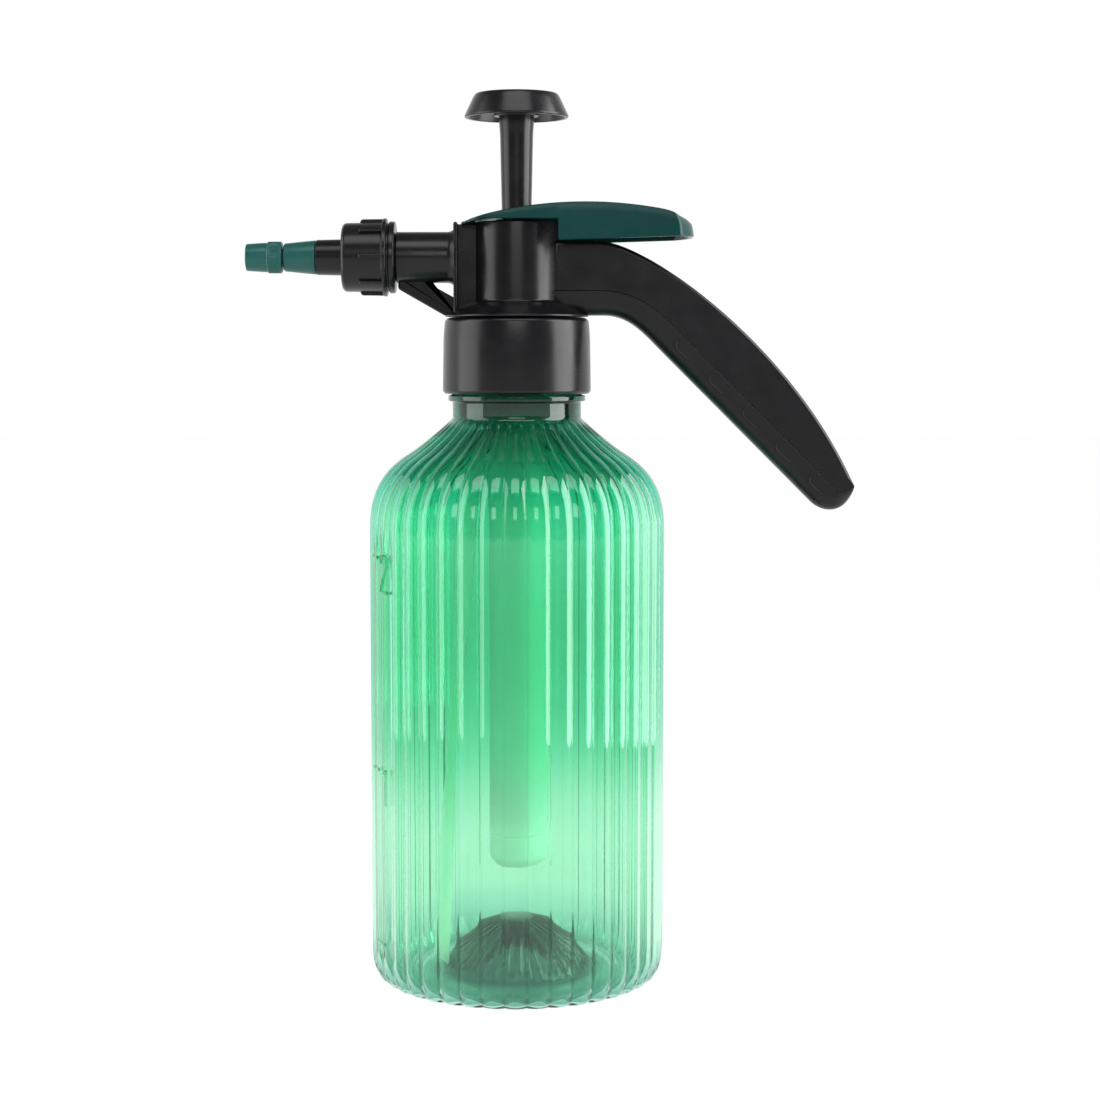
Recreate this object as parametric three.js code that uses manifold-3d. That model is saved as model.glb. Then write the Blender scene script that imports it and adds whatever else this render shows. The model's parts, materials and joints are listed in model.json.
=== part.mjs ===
// Hand mister: a two-litre pressure sprayer with a plunger pump, a thumb lever and an adjustable nozzle.
// Millimetres, +Z up. The spray leaves towards -X and the handle reaches towards +X.
// The origin is under the middle of the object, on the surface that the bottle stands on.
import * as THREE from 'three';
import { mergeVertices } from 'three/addons/utils/BufferGeometryUtils.js';
import Module from 'manifold-3d';

const wasm = await Module();
wasm.setup();

// ---- driving dimensions -------------------------------------------------------------------------

const GAP = 0.3; // clearance between neighbouring pieces
const NOZZLE_TIP = 111; // bottle axis to the tip of the nozzle
const HANDLE_TIP = 139; // bottle axis to the end of the handle
const AXIS_X = (NOZZLE_TIP - HANDLE_TIP) / 2; // bottle axis in the object's frame

const BODY_R = 61; // crest radius of the fluted body
const FLUTES = 40;
const FLUTE_DEPTH = 1.2;
const WALL = 1.4; // bottle wall under the crests
const FOOT_R = 56; // outer edge of the flat foot ring
const FOOT_INNER_R = 46;
const HEEL_TOP = 14;
const PUSH_UP_TOP = 22.5; // height of the dome under the bottle
const SHOULDER_BASE = 188;
const NECK_BASE = 233.3;
const NECK_R = 26.5;
const NECK_BORE_R = 24;
const RING_R = 28.3; // support ring on the neck
const RING_LOW = 240.2;
const RING_TOP = 242.7;
const NECK_TOP = 263;

const COLLAR_R = 30.5;
const COLLAR_LOW = 243.3;
const COLLAR_TOP = 274.4;
const COLLAR_BORE_R = 26.9;
const LIP_LOW = 268.9; // inward lip at the top of the collar
const LIP_BORE_R = 20.5;
const GASKET_LOW = NECK_TOP + GAP;
const GASKET_TOP = 265.3;
const FLANGE_LOW = GASKET_TOP + GAP; // barrel flange that the collar clamps
const FLANGE_TOP = 268.6;
const FLANGE_R = 26.4;

const BARREL_R = 12.3;
const BARREL_BORE_R = 10.8;
const BARREL_LOW = 60.3;
const BARREL_TOP = 309.6;
const FOOT_VALVE_LOW = 47;
const ROD_R = 6.1;
const ROD_BORE_R = 4.6;
const ROD_LOW = 80;
const ROD_TAPER_LOW = 318;
const ROD_TOP_R = 7.2;
const ROD_TOP = 359.4;
const PISTON_LOW = 66.3;
const PISTON_TOP = 79.7;
const PISTON_R = 10.4;
const GROOVE_LOW = 71.4; // groove that holds the piston ring
const GROOVE_TOP = 74.2;
const GROOVE_R = 8.2;
const GUIDE_LOW = 270; // lower end of the guide sleeve, where the piston stops
const KNOB_LOW = 355.5;
const KNOB_TOP = 365.5;
const KNOB_RIM_R = 21.3;
const KNOB_TOP_R = 17;

const TOWER_R = 17.8;
const TOWER_LOW = 280.5;
const TOWER_TOP = 313.2;
const FLARE_R = 29.4;
const FLARE_LOW = 274.7;
const BOSS_R = 20; // part of the head that passes through the collar's lip
const FEED_X = -16.4; // feed channel beside the barrel
const FEED_R = 1.6;

const SPRAY_Z = 299; // axis of the valve, the lance and the nozzle
const TUBE_R = 10.4;
const TUBE_END = 49.2; // distances along the spray line are taken from the bottle axis
const THREAD_R = 9.6;
const THREAD_END = 62;
const PLATE_FACE = 25.6; // front of the plate that the nozzle tube grows from
const PLATE_HALF_WIDTH = 11;
const BOX_HALF_WIDTH = 6.5;
const BOX_LOW = 276;

const PIVOT_X = -19.5;
const PIVOT_Z = 309.6;
const PIN_R = 1.5;
const LEVER_ARC_R = 170; // crown of the lever, seen from the side
const LEVER_APEX_X = 28;
const LEVER_APEX_Z = 320.6;
const LEVER_HALF_WIDTH = 20.5;
const LEVER_LEFT = -22;
const LEVER_RIGHT = 72.3;
const LEVER_WALL = 1.6;
const LEVER_STEP_X = 17; // the side walls hang deeper beyond the tower
const LEG_FACE_X = -21.9; // face of the leg that pushes the valve stem

const HANDLE_HALF_WIDTH = 8;
const HANDLE_WALL = 2.4;
const HANDLE_LOW = 275.3; // underside and top of the handle beside the tower
const HANDLE_HIGH = 305.5;
const SEAM_Z = 285.4; // joint between handle shell and grip cover, at the tower
const SLANT = 0.75; // slant of the dip tube's lower end, in radians

// Facets round a full turn: wide rings, tubes and small parts.
const WIDE = 40;
const ROUND = 28;
const SMALL = 14;

// ---- materials ----------------------------------------------------------------------------------

const BOTTLE_GREEN = { color: 0x1fb573, roughness: 0.08, opacity: 0.45 };
const BLACK = { color: 0x1c1c1f, roughness: 0.3 };
const GRIP_BLACK = { color: 0x19191b, roughness: 0.4 };
const LEVER_GREEN = { color: 0x0f4442, roughness: 0.28 };
const NOZZLE_GREEN = { color: 0x15524c, roughness: 0.32 };
const NATURAL = { color: 0xdfe6df, roughness: 0.45 };
const RUBBER = { color: 0x232325, roughness: 0.85 };
const STEEL = { color: 0xb9bcc0, roughness: 0.3, metalness: 1 };

function finish({ color, roughness, metalness = 0, opacity = 1 }) {
  const transparent = opacity < 1;
  return new THREE.MeshStandardMaterial({ color, roughness, metalness, opacity, transparent });
}

// ---- geometry helpers ---------------------------------------------------------------------------

// A closed geometry as a solid for joining and cutting. A solid passes through as it is.
function solidOf(geometry) {
  if (geometry instanceof wasm.Manifold) return geometry;
  const bare = geometry.clone();
  bare.deleteAttribute('normal');
  bare.deleteAttribute('uv');
  const merged = mergeVertices(bare, 1e-4);
  const index = merged.index.array;
  const triangles = [];
  for (let i = 0; i < index.length; i += 3) {
    const [a, b, c] = [index[i], index[i + 1], index[i + 2]];
    if (a !== b && b !== c && c !== a) triangles.push(a, b, c);
  }
  const vertProperties = Float32Array.from(merged.attributes.position.array);
  const triVerts = Uint32Array.from(triangles);
  return new wasm.Manifold(new wasm.Mesh({ numProp: 3, vertProperties, triVerts }));
}

function geometryOf(solid) {
  const mesh = solid.getMesh();
  const geometry = new THREE.BufferGeometry();
  geometry.setAttribute('position', new THREE.BufferAttribute(mesh.vertProperties, 3));
  geometry.setIndex(new THREE.BufferAttribute(mesh.triVerts, 1));
  geometry.computeVertexNormals();
  return geometry;
}

function join(first, ...others) {
  return others.reduce((whole, piece) => whole.add(solidOf(piece)), solidOf(first));
}

function cut(first, ...others) {
  return others.reduce((whole, piece) => whole.subtract(solidOf(piece)), solidOf(first));
}

const common = (first, second) => solidOf(first).intersect(solidOf(second));

// Turns a profile of [radius, height] corners about +Z. The profile may touch the axis at both ends.
function turned(profile, segments) {
  const onAxis = profile[0][0] === 0;
  const corners = profile.map(([radius, height]) => new THREE.Vector2(radius, height));
  let area = 0;
  for (let i = 0; i < corners.length; i += 1) {
    area += corners[i].cross(corners[(i + 1) % corners.length]);
  }
  if (area < 0) corners.reverse();
  if (!onAxis) corners.push(corners[0].clone());
  return new THREE.LatheGeometry(corners, segments).rotateX(Math.PI / 2);
}

const disc = (radius, low, high, segments = ROUND) =>
  turned([[0, low], [radius, low], [radius, high], [0, high]], segments);
const ring = (inner, outer, low, high, segments = ROUND) =>
  turned([[inner, low], [outer, low], [outer, high], [inner, high]], segments);

// A round seal: middle radius, section radius and height.
function roundSeal(radius, section, height, segments = SMALL) {
  return new THREE.TorusGeometry(radius, section, 6, segments).translate(0, 0, height);
}

// A side outline (x, z) made into a plate across Y.
function plate(outline, halfWidth, curveSegments = 8) {
  const geometry = new THREE.ExtrudeGeometry(outline, {
    depth: 2 * halfWidth,
    bevelEnabled: false,
    curveSegments,
  });
  return geometry.rotateX(Math.PI / 2).translate(0, halfWidth, 0);
}

// A plan outline (x, y) made into a block between two heights.
function block(outline, low, high, curveSegments = 6) {
  const geometry = new THREE.ExtrudeGeometry(outline, {
    depth: high - low,
    bevelEnabled: false,
    curveSegments,
  });
  return geometry.translate(0, 0, low);
}

function box(xLow, xHigh, yLow, yHigh, zLow, zHigh) {
  const geometry = new THREE.BoxGeometry(xHigh - xLow, yHigh - yLow, zHigh - zLow);
  return geometry.translate((xLow + xHigh) / 2, (yLow + yHigh) / 2, (zLow + zHigh) / 2);
}

function outlineThrough(corners) {
  const outline = new THREE.Shape();
  corners.forEach(([x, y], i) => (i ? outline.lineTo(x, y) : outline.moveTo(x, y)));
  outline.closePath();
  return outline;
}

// Moves a shape turned about +Z onto the spray line, with its height measured along -X.
const alongSpray = (geometry) => geometry.rotateY(-Math.PI / 2).translate(0, 0, SPRAY_Z);

// Moves a shape turned about +Z onto the lever's axle, which runs along Y.
const alongAxle = (geometry) => geometry.rotateX(Math.PI / 2).translate(PIVOT_X, 0, PIVOT_Z);

// ---- assembly helpers ---------------------------------------------------------------------------

const mister = new THREE.Group();
const axisGroup = new THREE.Group();
axisGroup.position.x = AXIS_X;
mister.add(axisGroup);

const sprayLine = new THREE.Group();
sprayLine.position.z = SPRAY_Z;
sprayLine.rotation.y = -Math.PI / 2;
axisGroup.add(sprayLine);

function place(name, solid, look, parent = axisGroup) {
  const mesh = new THREE.Mesh(geometryOf(solidOf(solid)), finish(look));
  mesh.name = name;
  parent.add(mesh);
}

// ---- bottle and collar --------------------------------------------------------------------------

const cornersOf = (path, steps) => path.getPoints(steps).map(({ x, y }) => [x, y]);

// Half section of the hollow under the bottle, from its top down to the foot ring.
function pushUpProfile() {
  const path = new THREE.Path();
  path.moveTo(0, PUSH_UP_TOP);
  path.lineTo(9, PUSH_UP_TOP);
  path.bezierCurveTo(14, PUSH_UP_TOP - 4.5, 22, 7, 31, 1);
  path.lineTo(FOOT_INNER_R - 2, 0.6);
  path.lineTo(FOOT_INNER_R, 0);
  return cornersOf(path, 4);
}

// Half section of the bottle's side, from the foot ring to the neck.
function sideProfile() {
  const path = new THREE.Path();
  path.moveTo(FOOT_R, 0);
  path.bezierCurveTo(FOOT_R + 2.6, 0.3, BODY_R, 5.5, BODY_R, HEEL_TOP);
  path.lineTo(BODY_R, SHOULDER_BASE);
  path.bezierCurveTo(BODY_R, SHOULDER_BASE + 17, 53.5, 213.1, 44.2, 218.8);
  path.bezierCurveTo(39.1, 221.9, 29.5, 230.3, NECK_R, NECK_BASE);
  return cornersOf(path, 3);
}

// Outer corners moved inwards by the wall, for the space inside.
function insetProfile(profile, distance) {
  return profile.map(([x, y], i) => {
    const before = profile[Math.max(i - 1, 0)];
    const after = profile[Math.min(i + 1, profile.length - 1)];
    const along = new THREE.Vector2(after[0] - before[0], after[1] - before[1]).normalize();
    return [Math.max(x - along.y * distance, 0), y + along.x * distance];
  });
}

// Presses V grooves between the flutes, deepest on the body and gone at the neck.
function pressFlutes(geometry) {
  const position = geometry.attributes.position;
  for (let i = 0; i < position.count; i += 1) {
    const [x, y, z] = [position.getX(i), position.getY(i), position.getZ(i)];
    const radius = Math.hypot(x, y);
    const inFlutes = radius > FOOT_INNER_R || z > HEEL_TOP;
    const turn = (Math.atan2(y, x) * FLUTES) / (2 * Math.PI);
    const inGroove = Math.abs(turn - Math.round(turn)) > 0.25;
    if (inFlutes && inGroove && z < NECK_BASE - 1) {
      const depth = FLUTE_DEPTH * Math.min(1, radius / BODY_R);
      position.setX(i, x * (1 - depth / radius));
      position.setY(i, y * (1 - depth / radius));
    }
  }
  return geometry;
}

function bottle() {
  const [underside, side] = [pushUpProfile(), sideProfile()];
  const inside = insetProfile([...underside, ...side], WALL + FLUTE_DEPTH / 2)
    .filter(([, z]) => z < NECK_BASE - 8);
  inside[0][0] = 0;
  const neck = [
    [NECK_R, RING_LOW],
    [RING_R, RING_LOW],
    [RING_R, RING_TOP],
    [NECK_R, RING_TOP],
    [NECK_R, NECK_TOP],
    [0, NECK_TOP],
  ];
  const corners = [[0, 0], ...side, ...neck].map(([radius, z]) => new THREE.Vector2(radius, z));
  const lathe = new THREE.LatheGeometry(corners, 2 * FLUTES);
  lathe.rotateX(Math.PI / 2);
  lathe.rotateZ(Math.PI / 2);
  const space = turned(
    [...inside, [NECK_BORE_R, NECK_BASE], [NECK_BORE_R, NECK_TOP + 5], [0, NECK_TOP + 5]],
    FLUTES,
  );
  const hollow = turned([...underside, [FOOT_INNER_R, -1], [0, -1]], FLUTES);
  return cut(pressFlutes(lathe), hollow, space);
}

function screwCollar() {
  return turned(
    [
      [COLLAR_BORE_R, COLLAR_LOW],
      [COLLAR_R - 0.5, COLLAR_LOW],
      [COLLAR_R, COLLAR_LOW + 1],
      [COLLAR_R - 0.9, COLLAR_TOP - 1.5],
      [COLLAR_R - 2.2, COLLAR_TOP],
      [LIP_BORE_R, COLLAR_TOP],
      [LIP_BORE_R, LIP_LOW],
      [COLLAR_BORE_R, LIP_LOW],
    ],
    WIDE,
  );
}

// ---- head ---------------------------------------------------------------------------------------

// Handle outline from the tower round the end and back, in (x, z).
function handleBottom(outline, rootX) {
  outline.moveTo(rootX, HANDLE_LOW);
  outline.lineTo(36, HANDLE_LOW);
  outline.bezierCurveTo(45, HANDLE_LOW, 51, 269.5, 57.9, 262.3);
  outline.lineTo(121.5, 198.7);
  outline.bezierCurveTo(126.8, 193.3, 137.2, 194.2, HANDLE_TIP - 0.2, 205.5);
}

function handleTop(outline, rootX) {
  outline.bezierCurveTo(113.4, 262.6, 53, HANDLE_HIGH, 33, HANDLE_HIGH);
  outline.lineTo(rootX, HANDLE_HIGH);
}

// The joint between shell and grip cover, followed from the handle's end back to the tower.
function seam(outline, rootX, drop) {
  outline.lineTo(132.3 - drop, 202.9);
  outline.lineTo(64 - drop, 271);
  outline.bezierCurveTo(55 - drop / 2, 280.3 - drop / 2, 46, SEAM_Z - drop, 34, SEAM_Z - drop);
  outline.lineTo(rootX, SEAM_Z - drop);
}

function handleSolid(rootX) {
  const outline = new THREE.Shape();
  handleBottom(outline, rootX);
  handleTop(outline, rootX);
  outline.closePath();
  return plate(outline, HANDLE_HALF_WIDTH);
}

// Hollow inside the handle, shared by shell and cover.
function handleHollow() {
  const [rootX, low, high] = [24, HANDLE_LOW + HANDLE_WALL, HANDLE_HIGH - HANDLE_WALL];
  const outline = new THREE.Shape();
  outline.moveTo(rootX, low);
  outline.lineTo(37, low);
  outline.bezierCurveTo(46.5, low, 52.5, 271.5, 59.6, 264);
  outline.lineTo(123.2, 200.4);
  outline.bezierCurveTo(126, 197.8, 131, 199.5, 132.8, 206);
  outline.bezierCurveTo(110, 262, 52, high, 33, high);
  outline.lineTo(rootX, high);
  outline.closePath();
  return plate(outline, HANDLE_HALF_WIDTH - HANDLE_WALL);
}

// Everything under the joint line, as a block to cut or keep with.
function underSeam(drop) {
  const outline = new THREE.Shape();
  outline.moveTo(HANDLE_TIP + 4, 207.2 - drop);
  outline.lineTo(132.3 - drop, 202.9 - drop / 2);
  seam(outline, 0, drop);
  outline.lineTo(0, 180);
  outline.lineTo(HANDLE_TIP + 4, 180);
  outline.closePath();
  return plate(outline, HANDLE_HALF_WIDTH + 1);
}

// Round body of the head, from the boss inside the collar to the top of the tower.
function towerProfile(grow) {
  return [
    [0, FLANGE_TOP + GAP],
    [BOSS_R + grow, FLANGE_TOP + GAP],
    [BOSS_R + grow, FLARE_LOW - grow],
    [FLARE_R + grow, FLARE_LOW - grow],
    [FLARE_R + grow, FLARE_LOW + 0.5],
    [FLARE_R - 6.5 + grow, TOWER_LOW - 1.4 + grow],
    [TOWER_R + grow, TOWER_LOW + grow],
    [TOWER_R + grow, TOWER_TOP],
    [0, TOWER_TOP],
  ];
}

function nozzleTube() {
  const outside = turned(
    [
      [0, 12],
      [TUBE_R, 12],
      [TUBE_R, TUBE_END],
      [THREAD_R, TUBE_END],
      [THREAD_R, THREAD_END],
      [0, THREAD_END],
    ],
    ROUND,
  );
  return alongSpray(outside);
}

// Stepped bore of the valve: stem guide, seal pocket, chamber and seat pocket.
function valveBore() {
  const bore = turned(
    [
      [0, 20],
      [2.25, 20],
      [2.25, 26.5],
      [4, 26.5],
      [4, 29],
      [6, 29],
      [6, 38],
      [7.5, 38],
      [7.5, THREAD_END + 5],
      [0, THREAD_END + 5],
    ],
    ROUND,
  );
  return alongSpray(bore);
}

function leverBox() {
  const neck = box(-PLATE_FACE + 1, -12, -BOX_HALF_WIDTH, BOX_HALF_WIDTH, BOX_LOW, TOWER_TOP - 1.2);
  const corner = 3;
  const [low, high] = [BOX_LOW, TOWER_TOP - 0.4];
  const half = PLATE_HALF_WIDTH;
  const face = new THREE.Shape();
  face.moveTo(low + corner, -half);
  face.lineTo(high - corner, -half);
  face.quadraticCurveTo(high, -half, high, -half + corner);
  face.lineTo(high, half - corner);
  face.quadraticCurveTo(high, half, high - corner, half);
  face.lineTo(low + corner, half);
  face.quadraticCurveTo(low, half, low, half - corner);
  face.lineTo(low, -half + corner);
  face.quadraticCurveTo(low, -half, low + corner, -half);
  const front = block(face, PLATE_FACE - 1.6, PLATE_FACE, 3).rotateY(-Math.PI / 2);
  return join(neck, front);
}

// Strut from under the nozzle tube down to the flare.
function strut() {
  const outline = outlineThrough([
    [-22, FLARE_LOW],
    [-29.5, FLARE_LOW],
    [-TUBE_END + 0.4, 286.4],
    [-TUBE_END + 0.4, SPRAY_Z - TUBE_R + 3],
    [-36, SPRAY_Z - TUBE_R + 3],
    [-37, SPRAY_Z - TUBE_R - 0.4],
    [-25, 282.6],
    [-22, 281],
  ]);
  return plate(outline, 2.3);
}

function headShell() {
  const solid = join(
    turned(towerProfile(0), WIDE),
    nozzleTube(),
    leverBox(),
    strut(),
    cut(handleSolid(12), underSeam(0), handleHollow()),
  );
  const feedUp = disc(FEED_R, FLANGE_TOP - 1, 292.6, 8).translate(FEED_X, 0, 0);
  const feedAcross = disc(FEED_R, -FEED_X, 34.2, 8).rotateY(-Math.PI / 2).translate(0, 0, 291.2);
  const feedIn = disc(FEED_R - 0.2, 291, 297, 8).translate(-32.6, 0, 0);
  const sealRecess = disc(2.9, FLANGE_TOP, FLANGE_TOP + GAP + 1.1, SMALL).translate(FEED_X, 0, 0);
  return cut(
    solid,
    disc(BARREL_R + GAP, FLANGE_TOP - 1, TOWER_TOP + 1, ROUND),
    disc(15.2, BARREL_TOP, TOWER_TOP + 1, ROUND),
    box(-24, -15.3, -4.5, 4.5, 296, TOWER_TOP + 1),
    valveBore(),
    feedUp,
    feedAcross,
    feedIn,
    sealRecess,
    alongAxle(disc(PIN_R + 0.15, -BOX_HALF_WIDTH - 1, BOX_HALF_WIDTH + 1, SMALL)),
  );
}

function gripCover() {
  const band = cut(common(handleSolid(15), underSeam(0.45)), handleHollow());
  return cut(band, turned(towerProfile(GAP + 0.05), WIDE));
}

// ---- lever --------------------------------------------------------------------------------------

const leverTopZ = (x) => LEVER_APEX_Z - LEVER_ARC_R
  + Math.sqrt(LEVER_ARC_R ** 2 - (x - LEVER_APEX_X) ** 2);

// Crown of the lever between two places, sunk by a depth.
function crown(from, to, depth, steps) {
  return Array.from({ length: steps + 1 }, (_, i) => {
    const x = from + ((to - from) * i) / steps;
    return [x, leverTopZ(x) - depth];
  });
}

function leverPlan(inset) {
  const half = LEVER_HALF_WIDTH - inset;
  const [left, right] = [LEVER_LEFT + inset, LEVER_RIGHT - inset];
  const [leftCorner, rightCorner] = [14, 7 - inset];
  const plan = new THREE.Shape();
  plan.moveTo(left + leftCorner, -half);
  plan.lineTo(right - rightCorner, -half);
  plan.quadraticCurveTo(right, -half, right, -half + rightCorner);
  plan.lineTo(right, half - rightCorner);
  plan.quadraticCurveTo(right, half, right - rightCorner, half);
  plan.lineTo(left + leftCorner, half);
  plan.quadraticCurveTo(left, half, left, half - leftCorner);
  plan.lineTo(left, -half + leftCorner);
  plan.quadraticCurveTo(left, -half, left + leftCorner, -half);
  return block(plan, 290, 330);
}

function leverHood() {
  const skirtLow = TOWER_TOP + 0.6;
  const side = outlineThrough([
    [LEVER_LEFT, skirtLow - 1.4],
    [LEVER_LEFT + 8, skirtLow],
    [LEVER_STEP_X, skirtLow],
    [LEVER_STEP_X, 305.2],
    [LEVER_RIGHT, 307],
    [LEVER_RIGHT - 1.1, 312.4],
    ...crown(68, LEVER_LEFT, 0, 14),
  ]);
  const under = outlineThrough([
    [-18, 300],
    [LEVER_RIGHT - 1, 300],
    [LEVER_RIGHT - 2.6, 311.6],
    ...crown(67.4, 19, LEVER_WALL, 7),
    [-18, TOWER_TOP + 0.55],
  ]);
  const outer = common(plate(side, LEVER_HALF_WIDTH + 1), leverPlan(0));
  const inner = common(plate(under, LEVER_HALF_WIDTH + 1), leverPlan(LEVER_WALL));
  return cut(outer, inner);
}

function lever() {
  const hub = alongAxle(disc(3.1, -4.1, 4.1, SMALL));
  const legTop = box(PIVOT_X - 2.4, PIVOT_X + 3, -4.1, 4.1, PIVOT_Z, leverTopZ(PIVOT_X) - 0.6);
  const leg = box(LEG_FACE_X, LEG_FACE_X + 3, -3.2, 3.2, 297.3, PIVOT_Z);
  const rodHole = disc(7.4, 300, 330, ROUND).translate(-0.35, 0, 0);
  const pinHole = alongAxle(disc(PIN_R + GAP, -5, 5, SMALL));
  return cut(join(leverHood(), hub, legTop, leg), rodHole, pinHole);
}

const leverPin = () => alongAxle(disc(PIN_R, -6.3, 6.3, SMALL));

// ---- pump ---------------------------------------------------------------------------------------

function pumpBarrel() {
  const tube = turned(
    [
      [BARREL_BORE_R, BARREL_LOW],
      [BARREL_R, BARREL_LOW],
      [BARREL_R, FLANGE_LOW],
      [FLANGE_R, FLANGE_LOW],
      [FLANGE_R, FLANGE_TOP],
      [BARREL_R, FLANGE_TOP],
      [BARREL_R, BARREL_TOP],
      [BARREL_BORE_R, BARREL_TOP],
    ],
    ROUND,
  );
  const socket = disc(4.4, 254, FLANGE_LOW + 1, SMALL).translate(FEED_X, 0, 0);
  const socketBore = disc(3.15, 250, FLANGE_LOW - 0.5, SMALL).translate(FEED_X, 0, 0);
  const feed = disc(FEED_R, 255, FLANGE_TOP + 1, 8).translate(FEED_X, 0, 0);
  return cut(join(tube, socket), socketBore, feed);
}

function footValveSeat() {
  const body = turned(
    [
      [0, 52],
      [9.2, 52],
      [9.2, FOOT_VALVE_LOW],
      [10, FOOT_VALVE_LOW],
      [11.6, FOOT_VALVE_LOW + 1],
      [BARREL_R, FOOT_VALVE_LOW + 3.2],
      [BARREL_R, BARREL_LOW - GAP],
      [BARREL_BORE_R - 0.15, BARREL_LOW - GAP],
      [BARREL_BORE_R - 0.15, 64],
      [9, 64],
      [9, 54.5],
      [0, 54.5],
    ],
    ROUND,
  );
  const holes = [0, 1, 2, 3].map((i) => {
    const turn = (i * Math.PI) / 2;
    return disc(1.2, 50, 56, 6).translate(4.8 * Math.cos(turn), 4.8 * Math.sin(turn), 0);
  });
  return cut(body, disc(1.8, 50, 56, 12), ...holes);
}

const footValveUmbrella = () => turned(
  [
    [0, 50],
    [6, 50.2],
    [7.4, 51.7],
    [1.5, 51.7],
    [1.5, 54.8],
    [2.4, 55.6],
    [0, 57.5],
  ],
  SMALL,
);

function pumpGuideCap() {
  return turned(
    [
      [ROD_R + GAP, GUIDE_LOW],
      [BARREL_BORE_R - 0.25, GUIDE_LOW],
      [BARREL_BORE_R - 0.25, BARREL_TOP + GAP],
      [14.9, BARREL_TOP + GAP],
      [14.9, TOWER_TOP - 0.4],
      [ROD_R + GAP, TOWER_TOP - 0.4],
    ],
    ROUND,
  );
}

function pumpRod() {
  return turned(
    [
      [0, 330],
      [ROD_BORE_R, 330],
      [ROD_BORE_R, ROD_LOW],
      [ROD_R, ROD_LOW],
      [ROD_R, ROD_TAPER_LOW],
      [ROD_TOP_R - 0.3, 350.5],
      [ROD_TOP_R, 353.2],
      [ROD_TOP_R, ROD_TOP],
      [0, ROD_TOP],
    ],
    ROUND,
  );
}

function pumpKnob() {
  return turned(
    [
      [0, ROD_TOP + GAP],
      [ROD_TOP_R + GAP, ROD_TOP + GAP],
      [ROD_TOP_R + GAP, 356.2],
      [9.4, 356.2],
      [9.4, 360.6],
      [18.6, 360.6],
      [19.4, KNOB_LOW],
      [KNOB_RIM_R - 0.2, KNOB_LOW],
      [KNOB_RIM_R, KNOB_LOW + 0.6],
      [KNOB_TOP_R + 0.7, 362.6],
      [KNOB_TOP_R - 0.6, 364],
      [11, 365.1],
      [0, KNOB_TOP],
    ],
    WIDE,
  );
}

function piston() {
  return turned(
    [
      [0, PISTON_LOW],
      [PISTON_R - 0.8, PISTON_LOW],
      [PISTON_R, PISTON_LOW + 0.8],
      [PISTON_R, GROOVE_LOW],
      [GROOVE_R, GROOVE_LOW],
      [GROOVE_R, GROOVE_TOP],
      [PISTON_R, GROOVE_TOP],
      [PISTON_R, PISTON_TOP],
      [ROD_BORE_R - 0.25, PISTON_TOP],
      [ROD_BORE_R - 0.25, 92],
      [0, 92],
    ],
    ROUND,
  );
}

const pistonRing = () =>
  ring(GROOVE_R + GAP, BARREL_BORE_R - 0.15, GROOVE_LOW + GAP, GROOVE_TOP - GAP);

// ---- dip tube -----------------------------------------------------------------------------------

// A tube bent gently outwards, with its end cut at a slant above the base.
function dipTube() {
  const route = new THREE.CatmullRomCurve3([
    new THREE.Vector3(FEED_X, 0, 265),
    new THREE.Vector3(FEED_X, 0, 250),
    new THREE.Vector3(-19.5, -2, 205),
    new THREE.Vector3(-26, -5.5, 130),
    new THREE.Vector3(-31, -8, 60),
    new THREE.Vector3(-33.5, -9, 4),
  ]);
  const swept = (radius) => {
    const section = new THREE.Shape().absarc(0, 0, radius, 0, 2 * Math.PI);
    const settings = { steps: 18, bevelEnabled: false, curveSegments: 4, extrudePath: route };
    return new THREE.ExtrudeGeometry(section, settings);
  };
  const slant = box(-20, 20, -10, 10, -30, 0).rotateY(SLANT).translate(-33.2, -9, 8);
  return cut(swept(3), swept(2), slant);
}

// ---- valve, on the spray line -------------------------------------------------------------------

const valveStem = () => turned(
  [[0, 22.2], [1.9, 22.2], [1.9, 44.1], [5, 44.1], [5, 46], [2.4, 46], [2.4, 49], [0, 49]],
  SMALL,
);
const valveWasher = () => ring(2.15, 5, 42.35, 43.8, SMALL);
const valveSeat = () => turned(
  [[3.4, 38.3], [7.2, 38.3], [7.2, 41.2], [4.4, 41.2], [4.4, 42.05], [3.4, 42.05]],
  ROUND,
);
const valveGland = () => ring(2.25, 5.7, 29.3, 31.3, SMALL);
const stemSeal = () => roundSeal(2.95, 0.9, 27.75);

// Coil spring between the stem's head and the back of the lance.
function valveSpring() {
  const [turns, radius, wire, from, to] = [5, 3.6, 0.45, 46.7, 62.3];
  class Coil extends THREE.Curve {
    getPoint(t, target = new THREE.Vector3()) {
      const turn = 2 * Math.PI * turns * t;
      return target.set(radius * Math.cos(turn), radius * Math.sin(turn), from + (to - from) * t);
    }
  }
  const section = new THREE.Shape().absarc(0, 0, wire, 0, 2 * Math.PI);
  const settings = { steps: 9 * turns, bevelEnabled: false, curveSegments: 3, extrudePath: new Coil() };
  return new THREE.ExtrudeGeometry(section, settings);
}

// ---- lance and nozzle, on the spray line --------------------------------------------------------

function lanceNut() {
  const body = turned(
    [
      [THREAD_R + 0.35, 49.6],
      [14, 49.6],
      [14, 51],
      [16, 51],
      [16, 52.7],
      [14.1, 52.7],
      [13.8, 70.3],
      [12.9, 71.3],
      [7.9, 71.3],
      [7.9, 67.1],
      [THREAD_R + 0.35, 67.1],
    ],
    WIDE,
  );
  const ribs = Array.from({ length: 8 }, (_, i) =>
    box(13, 15.5, -0.5, 0.5, 52, 63.5).rotateZ((i * Math.PI) / 4));
  return join(body, ...ribs);
}

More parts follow.
